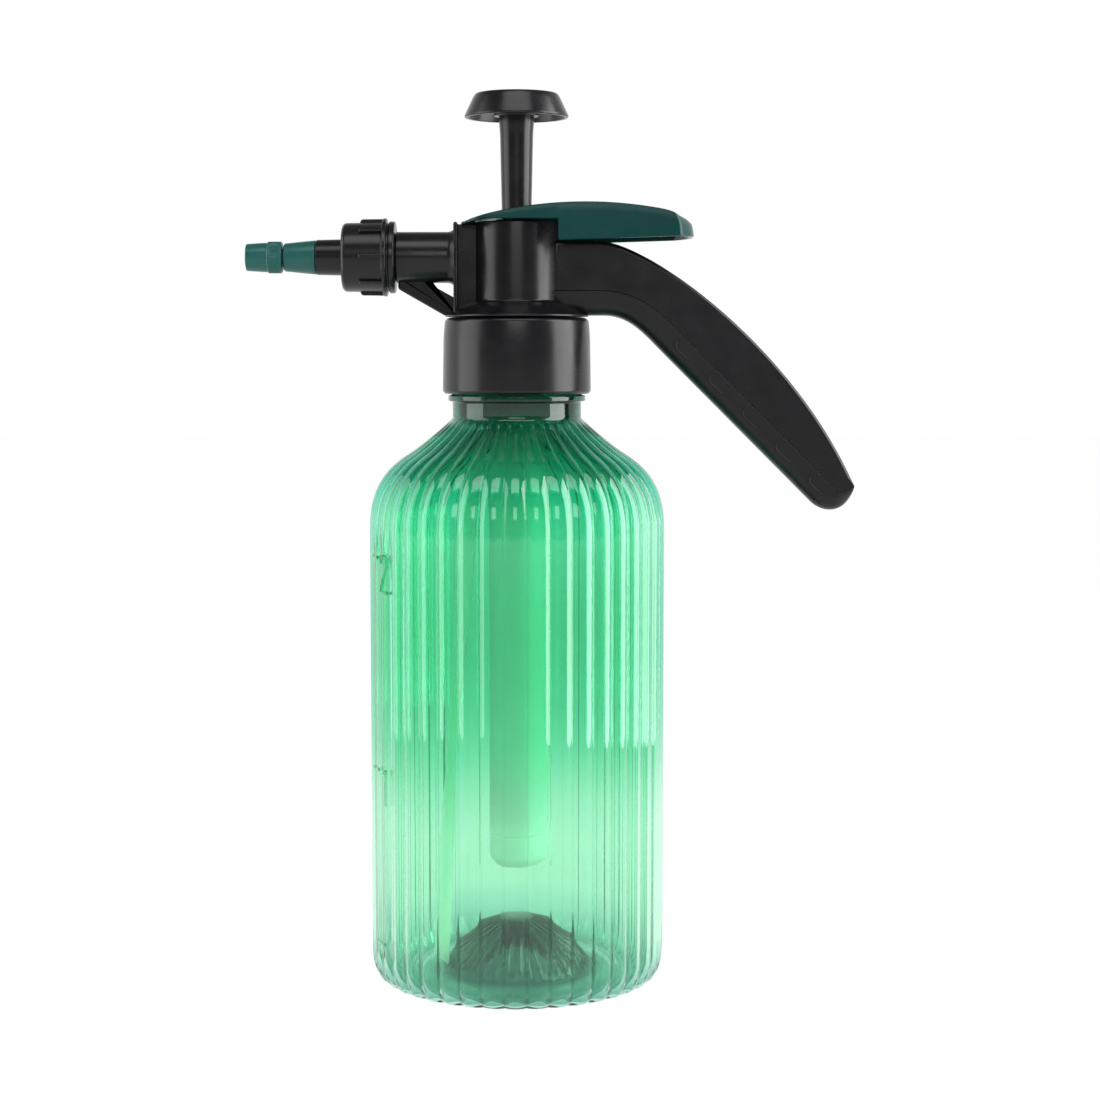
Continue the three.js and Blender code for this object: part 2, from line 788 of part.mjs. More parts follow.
const lanceWasher = () => ring(6, 9.3, 62.35, 62.85, ROUND);
const lanceTube = () => turned(
  [
    [3, 63.2],
    [9.5, 63.2],
    [9.5, 66.8],
    [7.6, 66.8],
    [7.4, 82],
    [4.3, 82],
    [4.3, 88],
    [3, 88],
  ],
  ROUND,
);
const nozzleBase = () => turned(
  [
    [4.6, 82.3],
    [7.2, 82.3],
    [5.7, 94.6],
    [3.5, 94.6],
    [3.5, 105.6],
    [1.6, 105.6],
    [1.6, 88.3],
    [4.6, 88.3],
  ],
  ROUND,
);
const swirlCore = () => turned(
  [[0, 102], [1.3, 102], [1.3, 105.9], [3.2, 105.9], [3.2, 106.9], [0, 106.9]],
  SMALL,
);
const nozzleSeal = () => roundSeal(4.07, 0.42, 99);
function nozzleCap() {
  return turned(
    [
      [3.85, 96],
      [6, 96],
      [6.5, 96.5],
      [6.5, 101.7],
      [6.2, 102.2],
      [5.5, NOZZLE_TIP],
      [2.2, NOZZLE_TIP],
      [0.7, 109.4],
      [0.7, 107.3],
      [3.85, 107.3],
      [3.85, 99.5],
      [4.6, 99.5],
      [4.6, 98.5],
      [3.85, 98.5],
    ],
    ROUND,
  );
}

// ---- assembly -----------------------------------------------------------------------------------

place('bottle', bottle(), BOTTLE_GREEN);
place('screw_collar', screwCollar(), BLACK);
place('neck_gasket', ring(22.6, 26.2, GASKET_LOW, GASKET_TOP), RUBBER);
place('head_shell', headShell(), BLACK);
place('grip_cover', gripCover(), GRIP_BLACK);
place('lever', lever(), LEVER_GREEN);
place('lever_pin', leverPin(), STEEL);

place('pump_barrel', pumpBarrel(), NATURAL);
place('foot_valve_seat', footValveSeat(), NATURAL);
place('foot_valve_umbrella', footValveUmbrella(), RUBBER);
place('pump_guide_cap', pumpGuideCap(), BLACK);
place('pump_rod', pumpRod(), BLACK);
place('pump_knob', pumpKnob(), BLACK);
place('piston', piston(), BLACK);
place('piston_ring', pistonRing(), RUBBER);
place('feed_o_ring', roundSeal(2.2, 0.5, FLANGE_TOP + 0.65, 12).translate(FEED_X, 0, 0), RUBBER);
place('dip_tube', dipTube(), NATURAL);

place('valve_stem', valveStem(), NATURAL, sprayLine);
place('valve_washer', valveWasher(), RUBBER, sprayLine);
place('valve_seat', valveSeat(), NATURAL, sprayLine);
place('valve_gland', valveGland(), NATURAL, sprayLine);
place('stem_o_ring', stemSeal(), RUBBER, sprayLine);
place('valve_spring', valveSpring(), STEEL, sprayLine);

place('lance_nut', lanceNut(), BLACK, sprayLine);
place('lance_washer', lanceWasher(), RUBBER, sprayLine);
place('lance_tube', lanceTube(), BLACK, sprayLine);
place('nozzle_base', nozzleBase(), NOZZLE_GREEN, sprayLine);
place('swirl_core', swirlCore(), NATURAL, sprayLine);
place('nozzle_o_ring', nozzleSeal(), RUBBER, sprayLine);
place('nozzle_cap', nozzleCap(), NOZZLE_GREEN, sprayLine);

export default mister;
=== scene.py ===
"""Looks of the hand mister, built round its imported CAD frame. Lengths in the code are millimetres from
the bottle's axis, with +Z up, and become metres in the row frame when a mesh is made."""
import json
import math

import bmesh
import bpy
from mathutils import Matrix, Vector


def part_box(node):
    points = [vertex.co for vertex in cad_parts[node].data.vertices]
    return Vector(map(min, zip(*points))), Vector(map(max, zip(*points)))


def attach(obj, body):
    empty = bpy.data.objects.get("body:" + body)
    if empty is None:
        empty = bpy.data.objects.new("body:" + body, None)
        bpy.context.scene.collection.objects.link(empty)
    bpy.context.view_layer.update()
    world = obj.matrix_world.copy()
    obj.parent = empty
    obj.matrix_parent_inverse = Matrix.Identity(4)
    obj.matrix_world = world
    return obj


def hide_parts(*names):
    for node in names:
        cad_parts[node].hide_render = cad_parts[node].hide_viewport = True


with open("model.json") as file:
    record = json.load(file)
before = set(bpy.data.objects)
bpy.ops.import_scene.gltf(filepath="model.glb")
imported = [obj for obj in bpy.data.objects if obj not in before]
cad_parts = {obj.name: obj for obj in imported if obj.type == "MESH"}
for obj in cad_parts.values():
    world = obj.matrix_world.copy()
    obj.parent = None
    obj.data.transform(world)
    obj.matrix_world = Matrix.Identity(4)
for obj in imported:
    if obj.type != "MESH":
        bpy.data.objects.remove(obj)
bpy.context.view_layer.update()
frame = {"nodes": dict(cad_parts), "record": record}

MM = 0.001
LOW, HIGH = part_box("pump_rod")
AXIS = (LOW.x + HIGH.x) / 2  # the bottle's axis in the row frame, in metres


def span(node):
    """A CAD node's box in millimetres from the bottle's axis: x0, x1, y0, y1, z0, z1."""
    low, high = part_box(node)
    return (
        (low.x - AXIS) / MM, (high.x - AXIS) / MM,
        low.y / MM, high.y / MM, low.z / MM, high.z / MM,
    )


# ---- materials ----------------------------------------------------------------------------------


class Tree:
    """The node tree of a material or world, with short calls to add and link nodes."""

    def __init__(self, owner, output="ShaderNodeOutputMaterial"):
        self.owner = owner
        owner.use_nodes = True
        self.nodes = owner.node_tree.nodes
        self.links = owner.node_tree.links
        self.nodes.clear()
        self.output = self.nodes.new(output)

    def add(self, kind, inputs=None, **settings):
        node = self.nodes.new(kind)
        for key, value in settings.items():
            setattr(node, key, value)
        for key, value in (inputs or {}).items():
            if isinstance(value, bpy.types.NodeSocket):
                self.links.new(value, node.inputs[key])
            else:
                node.inputs[key].default_value = value
        return node

    def ramp(self, factor, stops):
        node = self.add("ShaderNodeValToRGB", {"Fac": factor})
        elements = node.color_ramp.elements
        while len(elements) < len(stops):
            elements.new(0.5)
        for element, (position, colour) in zip(elements, stops):
            element.position = position
            element.color = (*colour, 1)
        return node.outputs["Color"]

    def noise(self, scale, detail=3.0, stretch=(1, 1, 1)):
        place = self.add("ShaderNodeTexCoord").outputs["Object"]
        if stretch != (1, 1, 1):
            place = self.add(
                "ShaderNodeMapping", {"Vector": place, "Scale": stretch}
            ).outputs["Vector"]
        inputs = {"Vector": place, "Scale": scale, "Detail": detail}
        return self.add("ShaderNodeTexNoise", inputs).outputs["Fac"]

    def mapped(self, value, low, high, start=0.3, end=0.7):
        inputs = {
            "Value": value, "From Min": start, "From Max": end, "To Min": low, "To Max": high,
        }
        return self.add("ShaderNodeMapRange", inputs).outputs["Result"]

    def bump(self, height, strength, distance):
        inputs = {"Height": height, "Strength": strength, "Distance": distance}
        return self.add("ShaderNodeBump", inputs).outputs["Normal"]

    def finish(self, shader):
        self.links.new(shader, self.output.inputs["Surface"])
        return self.owner


def material_tree(name):
    return Tree(bpy.data.materials.new(name))


def moulded(name, dark, light, rough, gloss, grain=900.0, depth=0.00001, strength=0.12):
    """Moulded plastic: slight colour drift, uneven gloss and a fine skin."""
    tree = material_tree(name)
    colour = tree.ramp(tree.noise(38.0), [(0.3, dark), (0.7, light)])
    roughness = tree.mapped(tree.noise(120.0, 4.0), rough - 0.03, rough + 0.05)
    normal = tree.bump(tree.noise(grain, 2.0), strength, depth)
    shader = tree.add(
        "ShaderNodeBsdfPrincipled",
        {
            "Base Color": colour, "Roughness": roughness, "Normal": normal,
            "Specular IOR Level": gloss, "IOR": 1.5,
        },
    )
    return tree.finish(shader.outputs["BSDF"])


def steel(name):
    """Drawn steel with fine streaks."""
    tree = material_tree(name)
    streaks = tree.noise(300.0, 3.0, (1, 12, 1))
    colour = tree.ramp(streaks, [(0.3, (0.42, 0.43, 0.45)), (0.7, (0.6, 0.61, 0.63))])
    shader = tree.add(
        "ShaderNodeBsdfPrincipled",
        {"Base Color": colour, "Roughness": tree.mapped(streaks, 0.2, 0.38), "Metallic": 1.0},
    )
    return tree.finish(shader.outputs["BSDF"])


def milky(name, dull, pale):
    """Natural polypropylene, cloudy enough to hide what is inside, with a faint painted glow standing in
    for the light it lets through.
    """
    tree = material_tree(name)
    colour = tree.ramp(tree.noise(60.0), [(0.3, dull), (0.7, pale)])
    roughness = tree.mapped(tree.noise(200.0), 0.26, 0.36)
    # Painted light: the skin's faint emission in its own colour makes the plastic glow without a lamp.
    skin = tree.add(
        "ShaderNodeBsdfPrincipled",
        {
            "Base Color": colour, "Roughness": roughness, "Specular IOR Level": 0.4,
            "Emission Color": colour, "Emission Strength": 0.14,
        },
    )
    through = tree.add("ShaderNodeBsdfTranslucent", {"Color": colour})
    mix = tree.add("ShaderNodeMixShader", {0: 0.55, 1: skin.outputs[0], 2: through.outputs[0]})
    return tree.finish(mix.outputs[0])


BOTTLE_SPAN = span("bottle")
# Colour of one wall of the bottle by height in millimetres: the glass's green with painted light and
# shade in it, paler low down where the lit floor shows through, darker through the middle against the
# lamps' reflections, lighter where the shoulder's highlights fall, and painted shade on the neck by the
# collar.
TINTS_WITH_PAINTED_LIGHT = [
    (0, (0.13, 0.42, 0.31)), (6, (0.25, 0.60, 0.46)), (13, (0.40, 0.77, 0.61)),
    (24, (0.57, 0.93, 0.73)), (70, (0.57, 0.93, 0.73)), (83, (0.46, 0.88, 0.66)),
    (92, (0.35, 0.83, 0.58)), (105, (0.23, 0.78, 0.51)), (141, (0.145, 0.71, 0.44)),
    (165, (0.16, 0.73, 0.46)), (192, (0.24, 0.79, 0.54)), (205, (0.06, 0.66, 0.42)),
    (213, (0.045, 0.52, 0.33)), (222, (0.05, 0.42, 0.27)), (228, (0.03, 0.30, 0.19)),
    (233, (0.01, 0.18, 0.11)), (240, (0.003, 0.09, 0.05)), (263, (0.003, 0.09, 0.05)),
]
# Painted shade: the push-up base is coloured deep green to stand in for the shaded floor seen through
# it.
PUSH_UP_SHADE = (0.01, 0.11, 0.075)
PUSH_UP_SHADE_RIM = (0.032, 0.040)  # radii in metres between which the push-up's painted shade ends
PUSH_UP_SHADE_CROWN = (0.026, 0.030)  # heights in metres between which it ends


def clear_green(name):
    """Tinted clear bottle, deeper in colour upwards, with painted light and shade by height and painted
    shade in its push-up base.
    """
    tree = material_tree(name)
    place = tree.add("ShaderNodeTexCoord").outputs["Object"]
    parts = tree.add("ShaderNodeSeparateXYZ", {"Vector": place}).outputs
    height = parts["Z"]
    wander = tree.mapped(tree.noise(30.0, 3.0, (1, 1, 0.3)), -0.004, 0.004, 0.25, 0.75)
    level = tree.add("ShaderNodeMath", {0: height, 1: wander}, operation="ADD").outputs[0]
    top = BOTTLE_SPAN[5]
    factor = tree.mapped(level, 0.0, 1.0, BOTTLE_SPAN[4] * MM, top * MM)
    # The wall's colour by height, with its painted light and shade.
    wall = tree.ramp(factor, [(min(z / top, 1.0), tint) for z, tint in TINTS_WITH_PAINTED_LIGHT])
    # Mask of the push-up base, where its painted shade replaces the wall colour.
    from_axis = tree.add("ShaderNodeVectorMath", {0: place, 1: (AXIS, 0, 0)}, operation="SUBTRACT")
    flat = tree.add(
        "ShaderNodeVectorMath", {0: from_axis.outputs[0], 1: (1, 1, 0)}, operation="MULTIPLY"
    )
    radius = tree.add("ShaderNodeVectorMath", {0: flat.outputs[0]}, operation="LENGTH")
    outside = tree.mapped(radius.outputs["Value"], 0.0, 1.0, *PUSH_UP_SHADE_RIM)
    above = tree.mapped(height, 0.0, 1.0, *PUSH_UP_SHADE_CROWN)
    beyond_push_up_shade = tree.add("ShaderNodeMath", {0: outside, 1: above}, operation="MAXIMUM").outputs[0]
    colour = tree.add(
        "ShaderNodeMix", {0: beyond_push_up_shade, 6: (*PUSH_UP_SHADE, 1), 7: wall}, data_type="RGBA"
    ).outputs[2]
    normal = tree.bump(tree.noise(70.0, 2.0, (1, 1, 0.12)), 0.05, 0.0008)
    glass = tree.add(
        "ShaderNodeBsdfPrincipled",
        {
            "Base Color": colour, "Roughness": 0.02, "IOR": 1.5, "Normal": normal,
            "Transmission Weight": 1.0,
        },
    )
    lamp_way = tree.add("ShaderNodeBsdfTransparent", {"Color": colour})
    path = tree.add("ShaderNodeLightPath").outputs["Is Shadow Ray"]
    mix = tree.add("ShaderNodeMixShader", {0: path, 1: glass.outputs[0], 2: lamp_way.outputs[0]})
    return tree.finish(mix.outputs[0])


CLEAR = clear_green("clear_green")
BLACK = moulded("black_plastic", (0.0035, 0.0035, 0.0042), (0.0065, 0.0065, 0.0075), 0.24, 0.32)
GRIP = moulded("grip_plastic", (0.003, 0.003, 0.0036), (0.006, 0.006, 0.0068), 0.36, 0.3)
LEVER = moulded("lever_green", (0.0006, 0.031, 0.028), (0.001, 0.038, 0.034), 0.22, 0.22)
NOZZLE = moulded("nozzle_green", (0.006, 0.074, 0.064), (0.009, 0.094, 0.081), 0.3, 0.35)
MILKY = milky("natural_plastic", (0.80, 0.85, 0.81), (0.84, 0.89, 0.85))
RUBBER = moulded("rubber", (0.012, 0.012, 0.013), (0.02, 0.02, 0.022), 0.75, 0.3, 700.0)
STEEL = steel("steel")
LOOK = {
    "bottle_green": CLEAR, "black_plastic": BLACK, "grip_plastic": GRIP, "lever_green": LEVER,
    "nozzle_green": NOZZLE, "natural_plastic": MILKY, "rubber": RUBBER, "steel": STEEL,
}

# ---- mesh helpers -------------------------------------------------------------------------------


def placed(name, data):
    """A new object in the scene."""
    thing = bpy.data.objects.new(name, data)
    bpy.context.scene.collection.objects.link(thing)
    return thing


def piece(name, points, faces, body, slot, replaces=(), sharp=35.0):
    """A shown piece from points in millimetres about the bottle's axis."""
    mesh = bpy.data.meshes.new(name)
    mesh.from_pydata([(x * MM + AXIS, y * MM, z * MM) for x, y, z in points], [], faces)
    work = bmesh.new()
    work.from_mesh(mesh)
    bmesh.ops.remove_doubles(work, verts=work.verts, dist=1e-7)
    bmesh.ops.dissolve_degenerate(work, edges=work.edges, dist=1e-7)
    bmesh.ops.recalc_face_normals(work, faces=work.faces)
    work.to_mesh(mesh)
    work.free()
    mesh.polygons.foreach_set("use_smooth", [True] * len(mesh.polygons))
    mesh.set_sharp_from_angle(angle=math.radians(sharp))
    mesh.materials.append(LOOK[slot])
    thing = placed(name, mesh)
    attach(thing, body)
    if replaces:
        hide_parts(*replaces)
    return thing


def quadratic(a, b, c, steps):
    """Points along a quadratic curve, with both ends."""
    a, b, c = Vector(a), Vector(b), Vector(c)
    return [
        tuple(a * (1 - t) ** 2 + b * 2 * t * (1 - t) + c * t * t)
        for t in (k / steps for k in range(steps + 1))
    ]


def rounded(corners, steps=4):
    """A profile with each corner of [a, b, radius] turned into an arc; [a, b] stays sharp."""
    count = len(corners)
    path = []
    for i, corner in enumerate(corners):
        here = Vector(corner[:2])
        radius = corner[2] if len(corner) > 2 else 0
        if not radius or i in (0, count - 1):
            path.append(tuple(here))
            continue
        before = Vector(corners[i - 1][:2]) - here
        after = Vector(corners[i + 1][:2]) - here
        reach = min(radius, before.length * 0.49, after.length * 0.49)
        start = here + before.normalized() * reach
        end = here + after.normalized() * reach
        path += quadratic(start, here, end, steps)
    return path


def bezier(a, b, c, d, steps):
    """Points along a cubic curve, without the first."""
    a, b, c, d = Vector(a), Vector(b), Vector(c), Vector(d)
    return [
        tuple(a * (1 - t) ** 3 + b * 3 * t * (1 - t) ** 2 + c * 3 * t * t * (1 - t) + d * t**3)
        for t in (k / steps for k in range(1, steps + 1))
    ]


def ring_faces(rings, count, closed=False):
    """Faces between rings of count points; closed also joins the last ring to the first."""
    faces = []
    for j in range(rings if closed else rings - 1):
        a, b = j * count, (j + 1) % rings * count
        for k in range(count):
            n = (k + 1) % count
            faces.append((a + k, a + n, b + n, b + k))
    return faces


def end_faces(rings, count):
    """Faces that close the first and the last ring."""
    return [tuple(range(count))[::-1], tuple((rings - 1) * count + k for k in range(count))]


def upright(radius, height, turn):
    """A turned point on an upright axis."""
    return radius * math.cos(turn), radius * math.sin(turn), height


SPRAY_Z = (span("lance_tube")[4] + span("lance_tube")[5]) / 2


def along_spray(radius, height, turn):
    """A turned point on the lance's axis, with height counted towards the nozzle."""
    return -height, radius * math.cos(turn), SPRAY_Z + radius * math.sin(turn)


def lathe(name, profile, body, slot, replaces=(), segments=72, way=upright, shape=None):
    """Turns a profile of [radius, height]. A profile that ends off the axis is closed on itself."""
    closed = profile[0][0] > 1e-6 or profile[-1][0] > 1e-6
    points = []
    for radius, height in profile:
        for k in range(segments):
            turn = 2 * math.pi * k / segments
            r = shape(radius, height, turn) if shape else radius
            points.append(way(r, height, turn))
    faces = ring_faces(len(profile), segments, closed)
    return piece(name, points, faces, body, slot, replaces)


def inset_ring(outline, amounts):
    """An outline moved inwards by an amount at each point. The outline runs anticlockwise."""
    count = len(outline)
    ring = []
    for i, (x, y) in enumerate(outline):
        a, b = Vector(outline[i - 1]), Vector(outline[(i + 1) % count])
        here = Vector((x, y))
        first, second = (here - a).normalized(), (b - here).normalized()
        left = Vector((-first.y - second.y, first.x + second.x))
        if left.length < 1e-6:
            left = Vector((-first.y, first.x))
        left.normalize()
        square = Vector((-first.y, first.x)).dot(left)
        ring.append(tuple(here + left * (amounts[i] / max(square, 0.6))))
    return ring


def anticlockwise(outline):
    """Whether the outline's signed area is positive."""
    area = sum(
        outline[i - 1][0] * outline[i][1] - outline[i][0] * outline[i - 1][1]
        for i in range(len(outline))
    )
    return area > 0


def rounded_plate(outline, radii, half_width, steps=5):
    """Points (u, v, w) and faces of a plate across w with its rims rounded by a radius per point."""
    if not anticlockwise(outline):
        outline, radii = outline[::-1], radii[::-1]
    count = len(outline)
    rows = []
    turns = [math.pi / 2 * k / steps for k in range(steps + 1)]
    for side, order in ((-1, reversed(turns)), (1, turns)):
        for turn in order:
            ring = inset_ring(outline, [r * (1 - math.cos(turn)) for r in radii])
            rows.append(
                [
                    (u, v, side * (half_width - r + r * math.sin(turn)))
                    for (u, v), r in zip(ring, radii)
                ]
            )
    points = [point for row in rows for point in row]
    return points, ring_faces(len(rows), count) + end_faces(len(rows), count)


def even_faces(thing):
    """Lets the flat faces set the shading, so rounded rims don't bend it."""
    modifier = thing.modifiers.new("even_faces", "WEIGHTED_NORMAL")
    modifier.weight = 100
    modifier.keep_sharp = True
    return thing


def side_plate(name, outline, radii, half_width, body, slot, replaces=(), sharp=35.0):
    """A rounded plate whose outline is (x, z), across Y."""
    points, faces = rounded_plate(outline, radii, half_width)
    return even_faces(
        piece(name, [(u, w, v) for u, v, w in points], faces, body, slot, replaces, sharp)
    )


def tube_mesh(route, radius, sides=10):
    """A closed tube along points in millimetres."""
    points = []
    route = [Vector(p) for p in route]
    up = Vector((0.0, 0.31, 0.95)).normalized()
    for i, here in enumerate(route):
        ahead = route[min(i + 1, len(route) - 1)] - route[max(i - 1, 0)]
        ahead.normalize()
        side = ahead.cross(up)
        if side.length < 1e-3:
            side = ahead.cross(Vector((1, 0, 0)))
        side.normalize()
        up = side.cross(ahead).normalized()
        for k in range(sides):
            turn = 2 * math.pi * k / sides
            points.append(tuple(here + (side * math.cos(turn) + up * math.sin(turn)) * radius))
    return points, ring_faces(len(route), sides) + end_faces(len(route), sides)


def merged(meshes):
    """Several (points, faces) as one."""
    points, faces = [], []
    for some_points, some_faces in meshes:
        start = len(points)
        points += some_points
        faces += [tuple(start + i for i in face) for face in some_faces]
    return points, faces


def smoothstep(t):
    """0 to 1 with soft ends."""
    t = min(max(t, 0.0), 1.0)
    return t * t * (3 - 2 * t)


# ---- bottle -------------------------------------------------------------------------------------

BODY_R = BOTTLE_SPAN[1]
NECK_TOP = BOTTLE_SPAN[5]
FLUTES = 40
FLUTE_DEPTH = 1.5
SHOULDER = 188.0
NECK_BASE = 233.3
NECK_R = 26.5
STRIP_TURN = math.radians(204)  # smooth strip for the level marks, at the front left
STRIP_HALF = math.radians(9.5)
STRIP_LOW, STRIP_HIGH = 12.0, 184.0
STRIP_SINK = 0.5
MARK_LIFT = 0.05
MARK_R = 0.7


def flute_drop(turn):
    """How far the surface lies under the crests, 0 to 1, round one flute."""
    u = abs(2 * ((turn * FLUTES / (2 * math.pi) + 0.5) % 1.0 - 0.5))
    over = max(0.0, u - 0.9)
    return (u * u - 10 * over * over) / 0.9


def flute_share(radius, height):
    """How strong the flutes are at a place on the profile, outside and inside alike."""
    if height < 6 and radius < 56:
        return smoothstep((radius - 47) / 8)
    fade = 1 - smoothstep((height - 228.5) / 4.2)
    return fade * (max(radius, 20) / BODY_R) ** 0.6


def strip_share(height, turn):
    """How far a place belongs to the smooth strip, 0 to 1."""
    off = abs((turn - STRIP_TURN + math.pi) % (2 * math.pi) - math.pi)
    side = smoothstep((STRIP_HALF - off) / math.radians(1.4) + 0.5)
    ends = smoothstep((height - STRIP_LOW) / 4) * smoothstep((STRIP_HIGH - height) / 4)
    return side * ends


OUTER = (
    [(0.0, 22.5), (4.0, 22.5), (7.6, 22.5), (9.0, 22.1)]
    + bezier((9.0, 22.1), (17.5, 20.5), (27.0, 9.5), (34.0, 1.5), 14)
    + [(38.0, 1.0), (43.0, 0.8), (45.2, 0.4), (46.5, 0.05), (49.0, 0.0), (53.0, 0.0)]
    + bezier((55.0, 0.0), (58.8, 0.3), (BODY_R, 5.5), (BODY_R, 14.0), 12)
    + [(BODY_R, z) for z in range(18, 188, 5)]
    + bezier((BODY_R, SHOULDER), (BODY_R, 205.0), (53.5, 213.1), (44.2, 218.8), 16)
    + bezier((44.2, 218.8), (39.1, 221.9), (29.5, 230.3), (NECK_R, NECK_BASE), 14)
)
NECK = rounded(
    [
        (NECK_R, 234.5), (NECK_R, 240.0, 0.6), (28.3, 240.4, 0.5), (28.3, 242.6, 0.5),
        (NECK_R, 243.0, 0.5), (NECK_R, NECK_TOP, 0.4), (24.0, NECK_TOP, 0.4), (24.0, 236.0),
    ],
    3,
)
INNER = (
    [(24.0, 233.6)]
    + bezier((24.0, 233.0), (26.5, 228.0), (38.2, 220.4), (43.2, 217.4), 12)
    + bezier((43.2, 217.4), (52.3, 211.9), (BODY_R - 1.4, 204.5), (BODY_R - 1.4, 187.8), 14)
    + [(BODY_R - 1.4, z) for z in range(180, 14, -6)]
    + bezier((BODY_R - 1.4, 14.0), (BODY_R - 1.4, 7.0), (57.0, 2.2), (53.0, 2.0), 8)
    + [(49.0, 2.0), (45.0, 2.3), (38.0, 2.8), (35.0, 3.1)]
    + bezier((35.0, 3.1), (28.5, 11.0), (18.5, 22.4), (9.6, 23.7), 12)
    + [(8.0, 24.1), (0.0, 24.1)]
)
OUTER_ROWS = len(OUTER)


def bottle():
    profile = OUTER + NECK + INNER
    half_flute = [0.09, 0.19, 0.28, 0.37, 0.44, 0.475]
    parts = [-0.5] + [-part for part in reversed(half_flute)] + [0.0] + half_flute
    turns = [
        2 * math.pi * (flute + part) / FLUTES for flute in range(FLUTES) for part in parts
    ]
    points = []
    inner_from = OUTER_ROWS + len(NECK)
    for row, (radius, height) in enumerate(profile):
        share = 0.0
        if row < OUTER_ROWS or (row >= inner_from and height > 3):
            share = FLUTE_DEPTH * flute_share(radius, height)
        for turn in turns:
            drop = share * flute_drop(turn)
            if row < OUTER_ROWS and radius > 50:
                blend = strip_share(height, turn)
                drop = drop * (1 - blend) + STRIP_SINK * blend
            points.append(upright(radius - drop if radius > 1 else radius, height, turn))
    faces = ring_faces(len(profile), len(turns))
    return piece("bottle_shell", points, faces, "bottle", "bottle_green", ["bottle"], 60.0)


def on_strip(across, up):
    """A point on the smooth strip, just proud of it."""
    radius = BODY_R - STRIP_SINK + MARK_LIFT
    turn = STRIP_TURN + across / radius
    return radius * math.cos(turn), radius * math.sin(turn), up


def level_marks():
    """Moulded level numbers and their lines, for each litre."""
    two = [(-3.0, 4.6), (-2.6, 6.3), (-1.1, 7.4), (0.9, 7.4), (2.5, 6.3), (3.0, 4.5), (2.3, 2.4)]
    two += [(0.4, -0.8), (-1.6, -4.0), (-3.2, -7.2), (0.0, -7.2), (3.4, -7.2)]
    one = [(-2.0, 5.0), (-0.4, 6.2), (0.9, 7.4), (0.9, 3.0), (0.9, -2.2), (0.9, -7.2)]
    line = [(-3.6, 0.0), (-1.2, 0.0), (1.2, 0.0), (3.6, 0.0)]
    strokes = []
    for middle, digit in ((171.0, two), (84.0, one)):
        strokes.append([on_strip(4.6 + u, middle + v) for u, v in digit])
        strokes.append([on_strip(u - 5.4, middle + 6.6 + v) for u, v in line])
    strokes.append([on_strip(u, 19.0 + v) for u, v in line])
    points, faces = merged([tube_mesh(stroke, MARK_R, 8) for stroke in strokes])
    return piece("level_marks", points, faces, "bottle", "bottle_green", (), 60.0)


bottle()
level_marks()

# ---- collar -------------------------------------------------------------------------------------

COLLAR = span("screw_collar")
COLLAR_R, COLLAR_LOW, COLLAR_TOP = COLLAR[1], COLLAR[4], COLLAR[5]
COLLAR_BORE = 26.9
HEAD_SEAT = 268.9  # where the head rests inside the collar
lathe(
    "collar",
    rounded(
        [
            (COLLAR_BORE, 250.0), (COLLAR_BORE, COLLAR_LOW, 0.4),
            (COLLAR_R - 0.9, COLLAR_LOW, 0.5), (COLLAR_R, COLLAR_LOW + 1.1, 1.4),
            (COLLAR_R - 0.35, 266.5, 3.0), (COLLAR_R - 0.95, COLLAR_TOP - 1.0, 1.2),
            (COLLAR_R - 2.6, COLLAR_TOP, 0.8), (20.5, COLLAR_TOP, 0.3), (20.5, HEAD_SEAT, 0.3),
            (COLLAR_BORE, HEAD_SEAT, 0.3), (COLLAR_BORE, 256.0),
        ],
        5,
    ),
    "collar", "black_plastic", ["screw_collar"], 128,
)

# ---- head: tower, valve box, nozzle tube, strut --------------------------------------------------

HEAD = span("head_shell")
TOWER_TOP = HEAD[5]
TOWER_R = 17.8
TOWER_BORE = 12.6
GUIDE_BORE = 15.2
GUIDE_SEAT = 309.6
FLARE_R = HEAD[3]
FLARE_LOW = 274.7
TUBE_R = 10.4
TUBE_BORE = 7.5
PLATE_X = -25.6
lathe(
    "head_tower",
    rounded(
        [
            (TOWER_BORE, 290.0), (TOWER_BORE, HEAD_SEAT, 0.3), (20.0, HEAD_SEAT, 0.3),
            (20.0, FLARE_LOW, 0.3), (FLARE_R, FLARE_LOW, 0.4), (FLARE_R, FLARE_LOW + 0.8, 0.6),
            (FLARE_R - 6.2, FLARE_LOW + 4.4, 2.6), (TOWER_R, 280.9, 1.0),
            (TOWER_R, TOWER_TOP, 0.7), (GUIDE_BORE, TOWER_TOP, 0.5), (GUIDE_BORE, GUIDE_SEAT, 0.2),
            (TOWER_BORE, GUIDE_SEAT, 0.2), (TOWER_BORE, 300.0),
        ],
        5,
    ),
    "head", "black_plastic", ["head_shell"], 128,
)


def valve_box():
    """The slot housing of the lever between the tower and the front plate."""
    low, high = 276.0, TOWER_TOP - 0.2
    half = 11.0
    corner = 1.2
    outline = rounded(
        [
            (-half, (low + high) / 2), (-half, low, corner), (half, low, corner),
            (half, high, corner), (-half, high, corner), (-half, (low + high) / 2 + 0.1),
        ],
        5,
    )
    plate_points, plate_faces = rounded_plate(outline, [0.75] * len(outline), 0.85, 4)
    plate = [(PLATE_X + 0.85 + w, u, v) for u, v, w in plate_points], plate_faces
    neck_outline = rounded(
        [
            (-24.6, 290.0), (-24.6, 275.6, 0.3), (-13.0, 275.6, 0.3), (-13.0, TOWER_TOP - 1.0, 0.3),
            (-24.6, TOWER_TOP - 1.0, 0.3), (-24.6, 291.0),
        ],
        2,
    )
    neck_points, neck_faces = rounded_plate(neck_outline, [0.4] * len(neck_outline), 6.5, 3)
    neck = [(u, w, v) for u, v, w in neck_points], neck_faces
    points, faces = merged([plate, neck])
    return even_faces(piece("valve_box", points, faces, "head", "black_plastic"))


